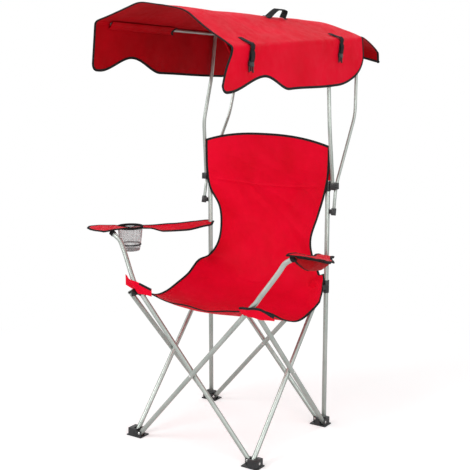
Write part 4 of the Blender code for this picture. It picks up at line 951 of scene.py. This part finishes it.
def make_buckle_half():
    """The plug half of a side-release buckle: a slotted bar frame with two sprung prongs."""
    pieces = [rounded_block((0, 0, 0), (0.025, 0.015, 0.0062), 0.0012, 2)]
    for x, width, reach in ((-0.0100, 0.0040, 0.017), (0.0100, 0.0040, 0.017), (0.0, 0.0050, 0.013)):
        pieces.append(rounded_block((x, -0.007 - reach / 2, 0), (width, reach, 0.0040), 0.0014))
    for y in (0.0035, -0.0045):
        pieces.append(rounded_block((0, y, 0.0034), (0.021, 0.0022, 0.0018), 0.0006))
    return joined("buckle_half", pieces)


def placed_copy(source, name, spot, along, facing):
    """A copy of a piece whose -Y end points along and whose +Z side faces outwards."""
    copy = source.copy()
    copy.data = source.data.copy()
    copy.name = name
    bpy.context.scene.collection.objects.link(copy)
    y = -along.normalized()
    z = (facing - y * facing.dot(y)).normalized()
    x = y.cross(z)
    copy.matrix_world = Matrix.Translation(spot) @ Matrix((x, y, z)).transposed().to_4x4()
    return copy


def make_straps():
    """A webbing strap from above each fold down the flap, with half of a buckle at its end."""
    buckle = make_buckle_half()
    done = []
    for side, name in SIDES:
        for where, y0 in STRAP_YS.items():
            def strip(u, v, s=side, y=y0):
                down = -STRAP_ABOVE + (STRAP_ABOVE + STRAP_BELOW) * v
                bulge = STRAP_BULGE * math.exp(-((down - 0.004) / 0.014) ** 2)
                lean = STRAP_LEAN * max(0, down) / STRAP_BELOW
                return beside_canopy(s, y + lean + (u - 0.5) * STRAP_W, down, 0.0034 + bulge)

            strap = grid_surface(name + "_" + where + "_webbing", 4, 36, strip, (STRAP_W, 0.112))
            add_change(strap, "SOLIDIFY", thickness=WEB_T, offset=0)

            def loop(u, v, s=side, y=y0):
                turn = math.pi * v
                down = STRAP_BELOW * 0.62 + 0.016 * math.cos(turn)
                lift = 0.0052 + 0.0042 * math.sin(turn)
                lean = STRAP_LEAN * down / STRAP_BELOW
                return beside_canopy(s, y + lean + (u - 0.5) * STRAP_W * 0.98, down, lift)

            turned_end = grid_surface("strap_turned_end", 4, 12, loop, (STRAP_W, 0.035))
            add_change(turned_end, "SOLIDIFY", thickness=WEB_T, offset=0)
            node = name + "_" + where + "_strap"
            band = finished(joined(node + "_webbing", [strap, turned_end]), webbing, "right_canopy_frame",
                            [node])
            end = beside_canopy(side, y0 + STRAP_LEAN, STRAP_BELOW, 0.0048)
            before = beside_canopy(side, y0 + STRAP_LEAN * 0.7, STRAP_BELOW - 0.036, 0.0048)
            half = placed_copy(buckle, node + "_buckle", end, end - before, side * X_AXIS)
            finished(half, black_plastic, "right_canopy_frame", smooth=40)
            done += [band, half]
    bpy.data.objects.remove(buckle, do_unlink=True)
    return done


HANDLE_Y = 0.085
HANDLE_LEN = 0.090
HANDLE_W = 0.024
HANDLE_RISE = 0.026
HANDLE_TAB = 0.016


def on_canopy(x, y, lift):
    """A point above the canopy's upper side."""
    share = (y - CANOPY_FRONT_Y) / CANOPY_RUN
    bow = FRONT_BOW * (1 - (x / CANOPY_W) ** 2) * (1 - (y - CANOPY_FRONT_Y) / FLAP_ARC)
    return leaning((x, MIDDLE_Y + y + bow, FOLD_Z + panel_height(x, share) + lift), x / RAIL_X)


def make_handle():
    """The webbing carry loop on the left ridge, sewn down at both ends."""
    def place(u, v):
        run = -HANDLE_TAB + (HANDLE_LEN + 2 * HANDLE_TAB) * v
        inside = max(0, min(1, run / HANDLE_LEN))
        share = math.sin(math.pi / 2 * min(1, inside / 0.30))
        share *= math.sin(math.pi / 2 * min(1, (1 - inside) / 0.16)) ** 0.6
        across = (u - 0.5) * HANDLE_W * (1 - 0.20 * math.sin(math.pi * inside))
        return on_canopy(RIDGE_W + across, HANDLE_Y + run + 0.030 * share, 0.0030 + HANDLE_RISE * share)

    strip = grid_surface("carry_loop", 6, 60, place, (HANDLE_W, HANDLE_LEN + 2 * HANDLE_TAB))
    add_change(strip, "SOLIDIFY", thickness=WEB_T, offset=0)
    return [finished(strip, webbing, "right_canopy_frame", ["carry_handle"])]


# Seat and back in one hanging cloth. Rows run from the back's top to the seat's front. An edge row
# is a place in metres; a middle row is shares of the way from seat front to post and from seat to top
SLING_EDGES = {
    -1: ((0.2500, 0.2190, 0.980), (0.2505, 0.2190, 0.929), (0.2490, 0.2190, 0.872), (0.2380, 0.2210, 0.805),
         (0.2060, 0.2340, 0.738), (0.1985, 0.2340, 0.668), (0.2120, 0.2330, 0.603), (0.2400, 0.2180, 0.556),
         (0.2450, 0.1560, 0.546), (0.2450, 0.0960, 0.510), (0.2430, 0.0285, 0.4886),
         (0.2400, -0.0390, 0.4720), (0.2340, -0.1000, 0.4720), (0.2250, -0.1560, 0.4900),
         (0.2250, -0.1903, 0.5090)),
    1: ((0.2560, 0.2190, 0.980), (0.2560, 0.2190, 0.929), (0.2520, 0.2190, 0.872), (0.2360, 0.2210, 0.805),
        (0.2075, 0.2340, 0.735), (0.1830, 0.2330, 0.660), (0.1880, 0.2330, 0.603), (0.2150, 0.2320, 0.545),
        (0.2390, 0.2330, 0.500), (0.2450, 0.1950, 0.455), (0.2450, 0.1150, 0.424), (0.2450, 0.0400, 0.417),
        (0.2420, -0.0380, 0.4400), (0.2360, -0.1080, 0.4760), (0.2300, -0.1903, 0.5090)),
}
SLING_MIDDLE = ((0.99, 1.00), (1.01, 0.88), (1.04, 0.74), (1.07, 0.60), (1.09, 0.45), (1.08, 0.30),
                (1.05, 0.16), (1.00, 0.05), (0.91, -0.05), (0.78, -0.115), (0.60, -0.155), (0.42, -0.165),
                (0.24, -0.150), (0.10, -0.115), (0.01, -0.075))
SLING_ROWS = len(SLING_MIDDLE) - 1
SLING_WIDTH = 0.506
SLING_LENGTH = 1.04
SLING_T = 0.0013
SEAM_AT = 2.45


def smooth_row(table, place):
    """A row between the rows of a table, on a smooth curve through them."""
    last = len(table) - 1
    i = min(int(place), last - 1)
    t = place - i
    rows = [table[max(0, min(last, i + k))] for k in (-1, 0, 1, 2)]
    out = []
    for a, b, c, d in zip(*rows):
        out.append(0.5 * (2 * b + (c - a) * t + (2 * a - 5 * b + 4 * c - d) * t * t
                          + (3 * b - a - 3 * c + d) * t ** 3))
    return out


# Each fold of the back: its middle's x and z, its turn, width, height and length
BACK_FOLDS = (
    (-0.13, 0.80, 1.15, 0.020, 0.0050, 0.09),
    (-0.05, 0.79, 0.75, 0.018, 0.0040, 0.08),
    (0.11, 0.80, -0.95, 0.022, 0.0038, 0.08),
    (0.03, 0.66, 0.5, 0.040, 0.0040, 0.16),
    (-0.10, 0.60, 1.0, 0.030, 0.0035, 0.12),
    (0.09, 0.60, -0.9, 0.030, 0.0040, 0.12),
)
FOLD_LIFT = 1.9
SEAT_FROM_ROW = 6
SEAT_ROWS_IN = 3
SIDE_TUBE_CLEAR = 0.0175
REAR_TUBE_CLEAR = 0.0075


def folds(x, z, place):
    """Soft diagonal folds below the back's seam."""
    low = 0.0
    for x0, z0, turn, width, high, length in BACK_FOLDS:
        dx, dz = x - x0, z - z0
        along = dx * math.cos(turn) - dz * math.sin(turn)
        off = dx * math.sin(turn) + dz * math.cos(turn)
        low += FOLD_LIFT * high * math.exp(-(off / width) ** 2) * math.exp(-(along / length) ** 2)
    return low * (1 if place < 8 else 0)


def over_side_tube(x, y, z):
    """Height of the seat cloth where it has to pass over the upper end of the left side tube."""
    tube_z = FOOT_PIN_Z + (y + HALF_SPAN) * (TOP_PIN_Z - FOOT_PIN_Z) / (2 * HALF_SPAN)
    off = x - (POST_X - TUBE_STEP)
    if off < -0.05 or y < 0.10 or z > tube_z + 0.030 or z < tube_z - 0.060:
        return z
    share = math.exp(-(off / 0.028) ** 2) if off < 0 else math.sqrt(max(0, 1 - (off / 0.0104) ** 2))
    share *= min(1, (y - 0.10) / 0.04)
    return z + max(0, tube_z + SIDE_TUBE_CLEAR - z) * share


def over_rear_tube(x, y, z):
    """Place of the cloth where it passes in front of the upper end of the rear tube on the left."""
    off = math.hypot(x - HALF_SPAN, z - TOP_PIN_Z - 0.003)
    share = min(1, 1.8 * math.exp(-(off / 0.022) ** 2))
    tube_front = HALF_SPAN + REAR_PLANE_OUT - TUBE_STEP - TUBE_R
    return y + min(0, tube_front - REAR_TUBE_CLEAR - y) * share


def sling_surface(u, v):
    """u runs from the right edge to the left edge, v from the top of the back to the seat's front."""
    place = v * SLING_ROWS
    across = 2 * u - 1
    right_x, right_y, right_z = smooth_row(SLING_EDGES[-1], place)
    left_x, left_y, left_z = smooth_row(SLING_EDGES[1], place)
    mid_back, mid_up = smooth_row(SLING_MIDDLE, place)
    fall = 1 - abs(across) ** 2.4
    edge_y = right_y + (left_y - right_y) * u
    edge_z = right_z + (left_z - right_z) * u
    mid_y = SEAT_FRONT_Y - MIDDLE_Y + (SEAT_REAR_Y - SEAT_FRONT_Y) * mid_back
    mid_z = SEAT_Z + (BACK_TOP_Z - SEAT_Z) * mid_up
    x = -right_x + (left_x + right_x) * u
    y = edge_y + (mid_y - edge_y) * fall
    z = edge_z + (mid_z - edge_z) * fall
    if place <= 1:
        z += BACK_ARCH * fall * (1 - place)
    inner = min(1, min(u, 1 - u) / 0.10)
    ends = min(1, v / 0.05, (1 - v) / 0.05)
    drape = noise.noise(Vector((x * 6 + z * 7, z * 6 - x * 5, 1.7))) * 0.0055
    crease = abs(noise.noise(Vector((x * 11 + z * 13, z * 9, 5.2)))) * 0.0045 + folds(x, z, place)
    seam = 0.0028 * math.exp(-((place - SEAM_AT) / 0.05) ** 2)
    seat = min(1, max(0, (place - SEAT_FROM_ROW) / SEAT_ROWS_IN))
    front = max(0, 1 - (1 - v) / 0.08) * math.sin(math.pi * u)
    push = (drape - crease) * inner * ends + seam * inner
    wave = 0.004 * math.sin(u * 17 + 1.2) * front
    z += (drape - crease) * inner * ends * seat + wave
    z = over_side_tube(x, y, z)
    return Vector((x, MIDDLE_Y + over_rear_tube(x, y - push * (1 - seat), z), z))


def make_sling(extras, pockets):
    cloth, area = cloth_piece("seat_and_back_cloth", 110, 230, sling_surface, (SLING_WIDTH, SLING_LENGTH),
                              SLING_T)
    edges = (
        ("back_top_hem", lambda t: (t, 0.0), lambda t: (t, 0.01), 90),
        ("seat_front_hem", lambda t: (t, 1.0), lambda t: (t, 0.99), 90),
        ("right_edge_hem", lambda t: (0.0, t), lambda t: (0.01, t), 200),
        ("left_edge_hem", lambda t: (1.0, t), lambda t: (0.99, t), 200),
    )
    bindings = [hem(edge, sling_surface, *line) for edge, *line in edges]
    binding = finished(joined("seat_and_back_binding", bindings), binding_tape, "right_post")
    finished(cloth, red_cloth, "right_post", ["seat_and_back_sling"])
    return [cloth, binding] + extras


SLEEVE_FOOT_Z = 0.8635
SLEEVE_H = 0.1075


def make_post_pockets():
    """The cloth pockets behind the back's upper corners that slip over the posts."""
    pockets = []
    for side, name in SIDES:
        centre = Vector((side * POST_X, POST_Y, 0))

        def sleeve(u, v):
            lid = max(0, (v - 0.82) / 0.18)
            radius = (TUBE_R + 0.0017) * math.sqrt(max(0.0, 1 - lid ** 2))
            turn = 2 * math.pi * u
            height = SLEEVE_FOOT_Z + SLEEVE_H * min(1, v / 0.82) + 0.0085 * math.sin(lid * math.pi / 2)
            return centre + Vector((math.cos(turn) * radius, math.sin(turn) * radius, height))

        pocket = cleaned(grid_surface(name + "_post_pocket", 32, 24, sleeve, (0.06, 0.12)), 0.00004)
        add_change(pocket, "SOLIDIFY", thickness=0.0010, offset=0)
        pockets.append(finished(pocket, red_cloth, name + "_post"))
    return pockets


# Per side: the tab's slope, inner end, middle height, length, how wide the tube lifts it, how far it
# stands off the tube, and how much of its upper edge is taped
CORNER_TABS = {
    -1: (0.26, 0.172, 0.5065, 0.113, 0.013, 0.0035, 0.45),
    1: (0.0, 0.190, 0.5100, 0.128, 0.022, 0.0075, 1.0),
}


def corner_tab(side):
    """The reinforced seat corner that wraps over the front tube, from its inner to its outer end."""
    tube_y = FRONT_PLANE_Y + (TUBE_STEP if side < 0 else -TUBE_STEP)
    tilt, inner_x, low_z, length, lift_width, stand_off, _ = CORNER_TABS[side]

    def place(u, v):
        x = inner_x + length * u
        if side > 0:
            swell = math.sin(math.pi * min(1, u / 0.62 * 0.5))
            height = 0.010 + 0.026 * swell * (1 - 0.75 * max(0, u - 0.62) / 0.38)
        else:
            height = 0.026 + 0.009 * math.sin(math.pi * 0.55 * u)
        z = low_z + tilt * (x - inner_x) + (0.5 - v) * height - 0.003 * math.sin(math.pi * u)
        if side > 0:
            z -= 0.026 * max(0, u - 0.35) ** 1.6
        tube_x = HALF_SPAN + (z - TOP_PIN_Z) * math.tan(LEAN)
        near = math.exp(-((x - tube_x) / lift_width) ** 2)
        sag = noise.noise(Vector((x * 40, z * 40, 4.0 + side))) * 0.0012
        beside = -0.004 if side > 0 else 0.004 * u
        y = tube_y - (TUBE_R + stand_off) * near + beside * (1 - near) + sag
        return Vector((side * x, y, z))
    return place


def make_seat_corners():
    """Corner tabs over the front tubes, with a taped upper edge and a black patch on the seat."""
    tabs, tapes = [], []
    for side, name in SIDES:
        place = corner_tab(side)
        tab = grid_surface("corner_tab", 40, 14, place, (0.12, 0.034))
        add_change(tab, "SOLIDIFY", thickness=0.0022, offset=0)
        tabs.append(tab)
        taped = CORNER_TABS[side][-1]
        tapes.append(hem("tab_hem", place, lambda t, r=taped: (r * t, 0.0), lambda t, r=taped: (r * t, 0.2),
                         40, 0.0075, 0.0040))

        def patch(u, v, s=side):
            at = 0.5 + s * (0.5 - 0.012 - 0.085 * (1 - u))
            spot = sling_surface(at, 0.985 - 0.040 * v)
            return spot + Vector((0, 0.0004, 0.0016))

        black = grid_surface("corner_patch", 12, 10, patch, (0.05, 0.04))
        add_change(black, "SOLIDIFY", thickness=0.0012, offset=0)
        tapes.append(black)
    return [finished(joined("seat_corner_tabs", tabs), red_cloth, "right_post"),
            finished(joined("seat_corner_tapes", tapes), webbing, "right_post")]


# Armrests: outer and inner edge as shares of the way to the front outer corner, and how far each
# edge stands above or below the plain CAD sheet, in metres
ARM_SHARES = (
    (0.00, 0.80, 0.52),
    (0.035, 0.93, 0.49),
    (0.09, 1.00, 0.46),
    (0.18, 0.975, 0.42),
    (0.30, 0.90, 0.37),
    (0.42, 0.78, 0.32),
    (0.55, 0.62, 0.24),
    (0.70, 0.42, 0.11),
    (0.84, 0.26, -0.02),
    (0.94, 0.18, -0.10),
    (1.00, 0.10, -0.04),
)
ARM_RISES = {
    -1: ((0.0, -0.002, -0.004), (0.12, 0.0, 0.000), (0.30, -0.002, 0.002), (0.42, -0.008, 0.002),
         (0.54, -0.002, -0.010), (0.72, 0.004, -0.010), (0.90, 0.009, 0.0), (1.0, 0.012, 0.010)),
    1: ((0.0, 0.0, -0.002), (0.06, -0.006, 0.0), (0.18, -0.014, 0.000), (0.40, -0.016, 0.000),
        (0.62, -0.010, 0.004), (0.80, 0.002, 0.010), (0.92, 0.006, 0.010), (1.0, 0.002, 0.004)),
}
CUP_ARM_HOLE = 0.0445


def arm_edges(share):
    """The outer and the inner edge's distance from the middle plane."""
    i = 0
    while i < len(ARM_SHARES) - 2 and ARM_SHARES[i + 1][0] <= share:
        i += 1
    low, high = ARM_SHARES[i], ARM_SHARES[i + 1]
    t = (share - low[0]) / (high[0] - low[0])
    return [POST_X + (ARM_FRONT_OUT_X - POST_X) * (low[k] + (high[k] - low[k]) * t) for k in (1, 2)]


def arm_height(side, share, across):
    z = ARM_FRONT_Z + (ARM_REAR_Z[side] - ARM_FRONT_Z) * share ** 1.3
    return z - ARM_SAG * math.sin(math.pi * max(0, (share - 0.2) / 0.8)) * (0.4 + 0.6 * across)


def arm_surface(side):
    """A point of an armrest: u from outer to inner edge, v from front to rear."""
    def surface(u, v):
        outer, inner = arm_edges(v)
        x = outer + (inner - outer) * u
        rise_out, rise_in = between(ARM_RISES[side], v)
        z = arm_height(side, v, u) + rise_out + (rise_in - rise_out) * u
        slack = noise.noise(Vector((x * 16, v * 7, 2.2 + side))) * 0.0022
        return Vector((side * x, MIDDLE_Y + ARM_FRONT_Y + ARM_LENGTH * v, z + slack * math.sin(math.pi * u)))
    return surface


def make_arm_end_pockets():
    """Short black sleeves under the armrests that take the tube ends."""
    sleeves = {}
    for foot, name, lap in ((1, "right", TUBE_STEP), (-1, "left", -TUBE_STEP)):
        line = arm_line(foot, FRONT_PLANE_Y + lap)
        end = line[-1] + (line[-1] - line[-2]).normalized() * 0.004
        start = line[-1] + (line[-3] - line[-1]).normalized() * 0.009
        middle = start.lerp(end, 0.5)
        sleeve = bar_along(name + "_arm_end_pocket", [start, middle, end], TUBE_R + 0.0022, 24, True)
        round_edges(sleeve, 0.0022, 50, 3)
        sleeve.data.uv_layers.new(name="cloth")
        body = "front_tube_b" if foot > 0 else "front_tube_a"
        sleeves[name] = finished(sleeve, webbing, body)
    return sleeves


def make_armrests(sleeves):
    done = []
    for side, name in SIDES:
        surface = arm_surface(side)
        body = name + "_post"

        def keep(u, v, s=side):
            spot = arm_surface(s)(u, v)
            off_post = math.hypot(abs(spot.x) - POST_X, spot.y - POST_Y) > TUBE_R + 0.001
            off_cup = s > 0 or math.hypot(abs(spot.x) - CUP_X, spot.y - MIDDLE_Y - CUP_Y) > CUP_ARM_HOLE
            return off_post and off_cup

        cloth, area = cloth_piece(name + "_armrest_cloth", 64, 190, surface, (0.14, ARM_LENGTH), 0.0022, keep)
        edges = (
            ("outer_hem", lambda t: (0.0, t), lambda t: (0.03, t), 120),
            ("inner_hem", lambda t: (1.0, t), lambda t: (0.97, t), 120),
            ("front_hem", lambda t: (t, 0.0), lambda t: (t, 0.01), 30),
            ("rear_hem", lambda t: (t, 1.0), lambda t: (t, 0.99), 24),
        )
        bindings = [hem(edge, surface, *line, 0.0080, 0.0046) for edge, *line in edges]
        binding = finished(joined(name + "_armrest_binding", bindings), binding_tape, body)
        finished(cloth, red_cloth, body, [name + "_armrest"])
        done += [cloth, binding]
    return done


def net_cell(u, v, centre):
    """A point of the cup's side: u around it and v from the rim down to the base."""
    turn = 2 * math.pi * u
    radius = CUP_TOP_R + (CUP_BASE_R - CUP_TOP_R) * v + 0.0016 * math.sin(math.pi * v)
    return centre + Vector((math.cos(turn) * radius, math.sin(turn) * radius, -CUP_DEPTH * v))


def taped_ring(name, centre, radius, height, thick, sides=56):
    """A flat ring of tape around the cup, rounded over at its edges."""
    deselect_all()
    bpy.ops.mesh.primitive_cylinder_add(vertices=sides, radius=radius, depth=height, end_fill_type="NOTHING",
                                        location=centre)
    ring = bpy.context.object
    ring.name = name
    bpy.ops.object.transform_apply(location=True, rotation=True, scale=True)
    add_change(ring, "SOLIDIFY", thickness=thick, offset=0)
    round_edges(ring, thick * 0.35)
    ring.data.uv_layers[0].name = "cloth"
    for item in ring.data.uv_layers["cloth"].data:
        item.uv = (item.uv[1] * height, item.uv[0] * radius * 2 * math.pi)
    return ring


def make_cup():
    """The net cup under the right armrest: a taped rim, an open net with a taped band, and a base."""
    share = (CUP_Y - ARM_FRONT_Y) / ARM_LENGTH
    outer, inner = arm_edges(share)
    top = arm_height(-1, share, (outer - CUP_X) / (outer - inner)) - 0.0010
    centre = Vector((-CUP_X, MIDDLE_Y + CUP_Y, top))
    net = cleaned(grid_surface("cup_net", 76, 30, lambda u, v: net_cell(u, v, centre), (0.24, CUP_DEPTH)))
    add_change(net, "WIREFRAME", thickness=0.0007, use_even_offset=True, use_boundary=True, use_replace=True)
    finished(net, net_yarn, "right_post", ["mesh_cup"], 60)
    rim = taped_ring("cup_rim", centre + Z_AXIS * 0.0008, CUP_TOP_R + 0.0012, 0.0090, 0.0036)
    band_r = CUP_TOP_R * 0.26 + CUP_BASE_R * 0.74 + 0.0026
    band = taped_ring("cup_band", centre - Z_AXIS * CUP_DEPTH * 0.74, band_r, 0.0050, 0.0016)
    tapes = finished(joined("cup_tapes", [rim, band]), webbing, "right_post")
    deselect_all()
    bpy.ops.mesh.primitive_cylinder_add(vertices=56, radius=CUP_BASE_R, depth=0.0030,
                                        location=centre - Z_AXIS * (CUP_DEPTH - 0.0015))
    base = bpy.context.object
    base.name = "cup_base"
    round_edges(base, 0.0010)
    base.data.uv_layers[0].name = "cloth"
    finished(base, net_yarn, "right_post")
    return [net, base, tapes]


def make_pocket():
    """The cloth pocket under the left armrest: a soft trough with taped upper edges and front seam."""
    front_y = POCKET_Y - POCKET_LEN / 2 - POCKET_AHEAD
    rear_y = POCKET_Y + POCKET_LEN / 2 - POCKET_SHORT

    def place(u, v):
        y = front_y + (rear_y - front_y) * v
        end = math.sqrt(min(1, v / 0.34)) * math.sin(math.pi / 2 * min(1, (1 - v) / 0.62)) ** 0.8
        turn = math.pi * u
        half = POCKET_W / 2 * (0.30 + 0.70 * end)
        slack = noise.noise(Vector((u * 5, v * 6, 7.7))) * 0.0040 * math.sin(turn) * end
        share = (y - ARM_FRONT_Y) / ARM_LENGTH
        outer, inner = arm_edges(share)
        x = POCKET_X - math.cos(turn) * half
        across = (outer - x) / (outer - inner)
        rise_out, rise_in = between(ARM_RISES[1], share)
        top = arm_height(1, share, across) + rise_out + (rise_in - rise_out) * across
        return Vector((x, MIDDLE_Y + y, top - 0.0030 - (POCKET_SAG * end + slack) * math.sin(turn)))

    # The pocket cloth's added shell takes the darker red: painted shade.
    cloth, area = cloth_piece("pocket_cloth", 40, 80, place, (0.14, rear_y - front_y), CLOTH_T, shaded_inside=True)
    finished(cloth, red_cloth, "left_post", ["side_pocket"], inner_shade=shaded_red_inner)
    bindings = [hem("pocket_hem", place, lambda t, e=edge: (e, t), lambda t, i=inner: (i, t), 60, 0.0065,
                    0.0032)
                for edge, inner in ((0.0, 0.04), (1.0, 0.96))]
    bindings.append(hem("pocket_seam", place, lambda t: (0.60, 0.01 + 0.36 * t),
                        lambda t: (0.42, 0.01 + 0.36 * t), 40, 0.0080, 0.0040))
    binding = finished(joined("pocket_binding", bindings), binding_tape, "left_post")
    return [cloth, binding]


# Floor, light and camera
FLOOR_GLOW = 0.32
FADE_FROM = 0.7
FADE_TO = 1.6
FILL_STRENGTH = 0.50
LAMPS = (
    ("key_light", (-1.6, -3.2, 2.9), 2.0, 75),
    ("fill_light", (3.2, -2.0, 1.6), 2.4, 50),
    ("top_light", (0.4, 0.6, 3.8), 2.5, 26),
)
AZIMUTH = math.radians(34.0)
ELEVATION = math.radians(10.6)
DISTANCE = 3.326
AIM = Vector((0, MIDDLE_Y + 0.0345, 0.6816))
LENS_MM = 75.52
SENSOR_MM = 36


def make_floor():
    """A pale floor that the camera sees as white and that still takes the chair's shadow."""
    deselect_all()
    bpy.ops.mesh.primitive_plane_add(size=30, location=(0, 0, -0.0005))
    floor = bpy.context.object
    floor.name = "pale_floor"
    mat, nodes, links, shader = new_material("pale_floor", (0.93, 0.93, 0.93), 0.95)
    coords = nodes.new("ShaderNodeTexCoord").outputs["Object"]
    tones = [(0.3, (0.92, 0.92, 0.92)), (0.7, (0.94, 0.94, 0.94))]
    shade = colour_steps(nodes, links, cloud(nodes, links, coords, 3.0), tones)
    links.new(shade, shader.inputs["Base Color"])
    shader.inputs["Specular IOR Level"].default_value = 0.0
    glow = nodes.new("ShaderNodeEmission")
    ray = nodes.new("ShaderNodeLightPath")
    seen_near = sum_of(nodes, links, "MULTIPLY", ray.outputs["Is Camera Ray"], FLOOR_GLOW)
    links.new(seen_near, glow.inputs["Strength"])
    both = nodes.new("ShaderNodeAddShader")
    links.new(shader.outputs[0], both.inputs[0])
    links.new(glow.outputs[0], both.inputs[1])
    reach = nodes.new("ShaderNodeVectorMath")
    reach.operation = "LENGTH"
    links.new(coords, reach.inputs[0])
    fade = nodes.new("ShaderNodeMapRange")
    fade.interpolation_type = "SMOOTHSTEP"
    fade.inputs["From Min"].default_value = FADE_FROM
    fade.inputs["From Max"].default_value = FADE_TO
    links.new(reach.outputs["Value"], fade.inputs["Value"])
    far = nodes.new("ShaderNodeEmission")
    far.inputs["Strength"].default_value = 1.0
    blend = nodes.new("ShaderNodeMixShader")
    seen_far = sum_of(nodes, links, "MULTIPLY", fade.outputs["Result"], ray.outputs["Is Camera Ray"])
    links.new(seen_far, blend.inputs[0])
    links.new(both.outputs[0], blend.inputs[1])
    links.new(far.outputs[0], blend.inputs[2])
    links.new(blend.outputs[0], nodes["Material Output"].inputs["Surface"])
    floor.data.materials.append(mat)


def make_world():
    world = bpy.data.worlds.new("studio")
    bpy.context.scene.world = world
    world.use_nodes = True
    nodes, links = world.node_tree.nodes, world.node_tree.links
    fill = nodes["Background"]
    fill.inputs["Color"].default_value = (1, 1, 1, 1)
    fill.inputs["Strength"].default_value = FILL_STRENGTH
    seen = nodes.new("ShaderNodeBackground")
    seen.inputs["Color"].default_value = (1, 1, 1, 1)
    seen.inputs["Strength"].default_value = 1.0
    ray = nodes.new("ShaderNodeLightPath")
    straight = sum_of(nodes, links, "MAXIMUM", ray.outputs["Is Camera Ray"], ray.outputs["Is Glossy Ray"])
    straight = sum_of(nodes, links, "MAXIMUM", straight, ray.outputs["Is Transmission Ray"])
    pick = nodes.new("ShaderNodeMixShader")
    links.new(straight, pick.inputs[0])
    links.new(fill.outputs[0], pick.inputs[1])
    links.new(seen.outputs[0], pick.inputs[2])
    links.new(pick.outputs[0], nodes["World Output"].inputs["Surface"])


def soft_lamp(name, place, size, power):
    light = bpy.data.lights.new(name, "AREA")
    light.shape = "SQUARE"
    light.size = size
    light.energy = power
    obj = bpy.data.objects.new(name, light)
    bpy.context.scene.collection.objects.link(obj)
    obj.location = place
    obj.rotation_euler = (Vector(place) - Vector((0, 0, 0.7))).to_track_quat("Z", "Y").to_euler()


def make_camera():
    back = Vector((math.sin(AZIMUTH) * math.cos(ELEVATION), -math.cos(AZIMUTH) * math.cos(ELEVATION),
                   math.sin(ELEVATION)))
    lens = bpy.data.cameras.new("photo_camera")
    lens.sensor_width = SENSOR_MM
    lens.lens = LENS_MM
    camera = bpy.data.objects.new("photo_camera", lens)
    bpy.context.scene.collection.objects.link(camera)
    camera.location = AIM + back * DISTANCE
    camera.rotation_euler = (math.pi / 2 - ELEVATION, 0, AZIMUTH)
    bpy.context.scene.camera = camera


make_scissor_tubes()
make_side_frames()
MOULDED_ENDINGS = ("_foot", "_collar", "_corner_bracket", "_hub", "_yoke", "_brace_clip", "_post_plug")
for moulded in [name for name in frame["nodes"] if name.endswith(MOULDED_ENDINGS)]:
    lowered = PLUG_LOWERED if moulded.endswith("_plug") else 0.0
    softened(moulded, black_plastic, PLASTIC_EDGE, lowered)
canopy_cloths = make_canopy(make_rail_sleeves() + make_straps() + make_handle())
seat_cloths = make_sling(make_seat_corners(), make_post_pockets())
arm_cloths = make_armrests(make_arm_end_pockets()) + make_cup() + make_pocket()

# Each cloth piece gets a mesh of its own; the table's axes, anchors (canopy and seat at the right side,
# armrests at the posts) and keep shares are not used.
FOLDING = (
    (canopy_cloths, (1, 0, 0), (-CANOPY_W - 0.003, 0, 0), 0.366),
    (seat_cloths, (1, 0, 0), (-POST_X, 0, 0), 0.32),
    (arm_cloths, (0, 1, 0), (0, POST_Y, 0), 0.26),
)
for cloths, axis, anchor, keep_share in FOLDING:
    for piece in cloths:
        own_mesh(piece)
        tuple(axis)
        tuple(anchor)

finishes = {"black_plastic": black_plastic, "bright_steel": steel, "grey_paint": grey_paint,
            "red_cloth": red_cloth, "black_web": webbing, "grey_mesh": net_yarn}
slots = {part["node"]: part["material_slot"] for part in frame["record"]["subparts"]}
for node, obj in frame["nodes"].items():
    for material_slot in obj.material_slots:
        material_slot.material = black_steel if node.endswith("_bolt") else finishes[slots[node]]

make_floor()
make_world()
for lamp in LAMPS:
    soft_lamp(*lamp)
make_camera()
bpy.context.scene.view_settings.view_transform = "Standard"
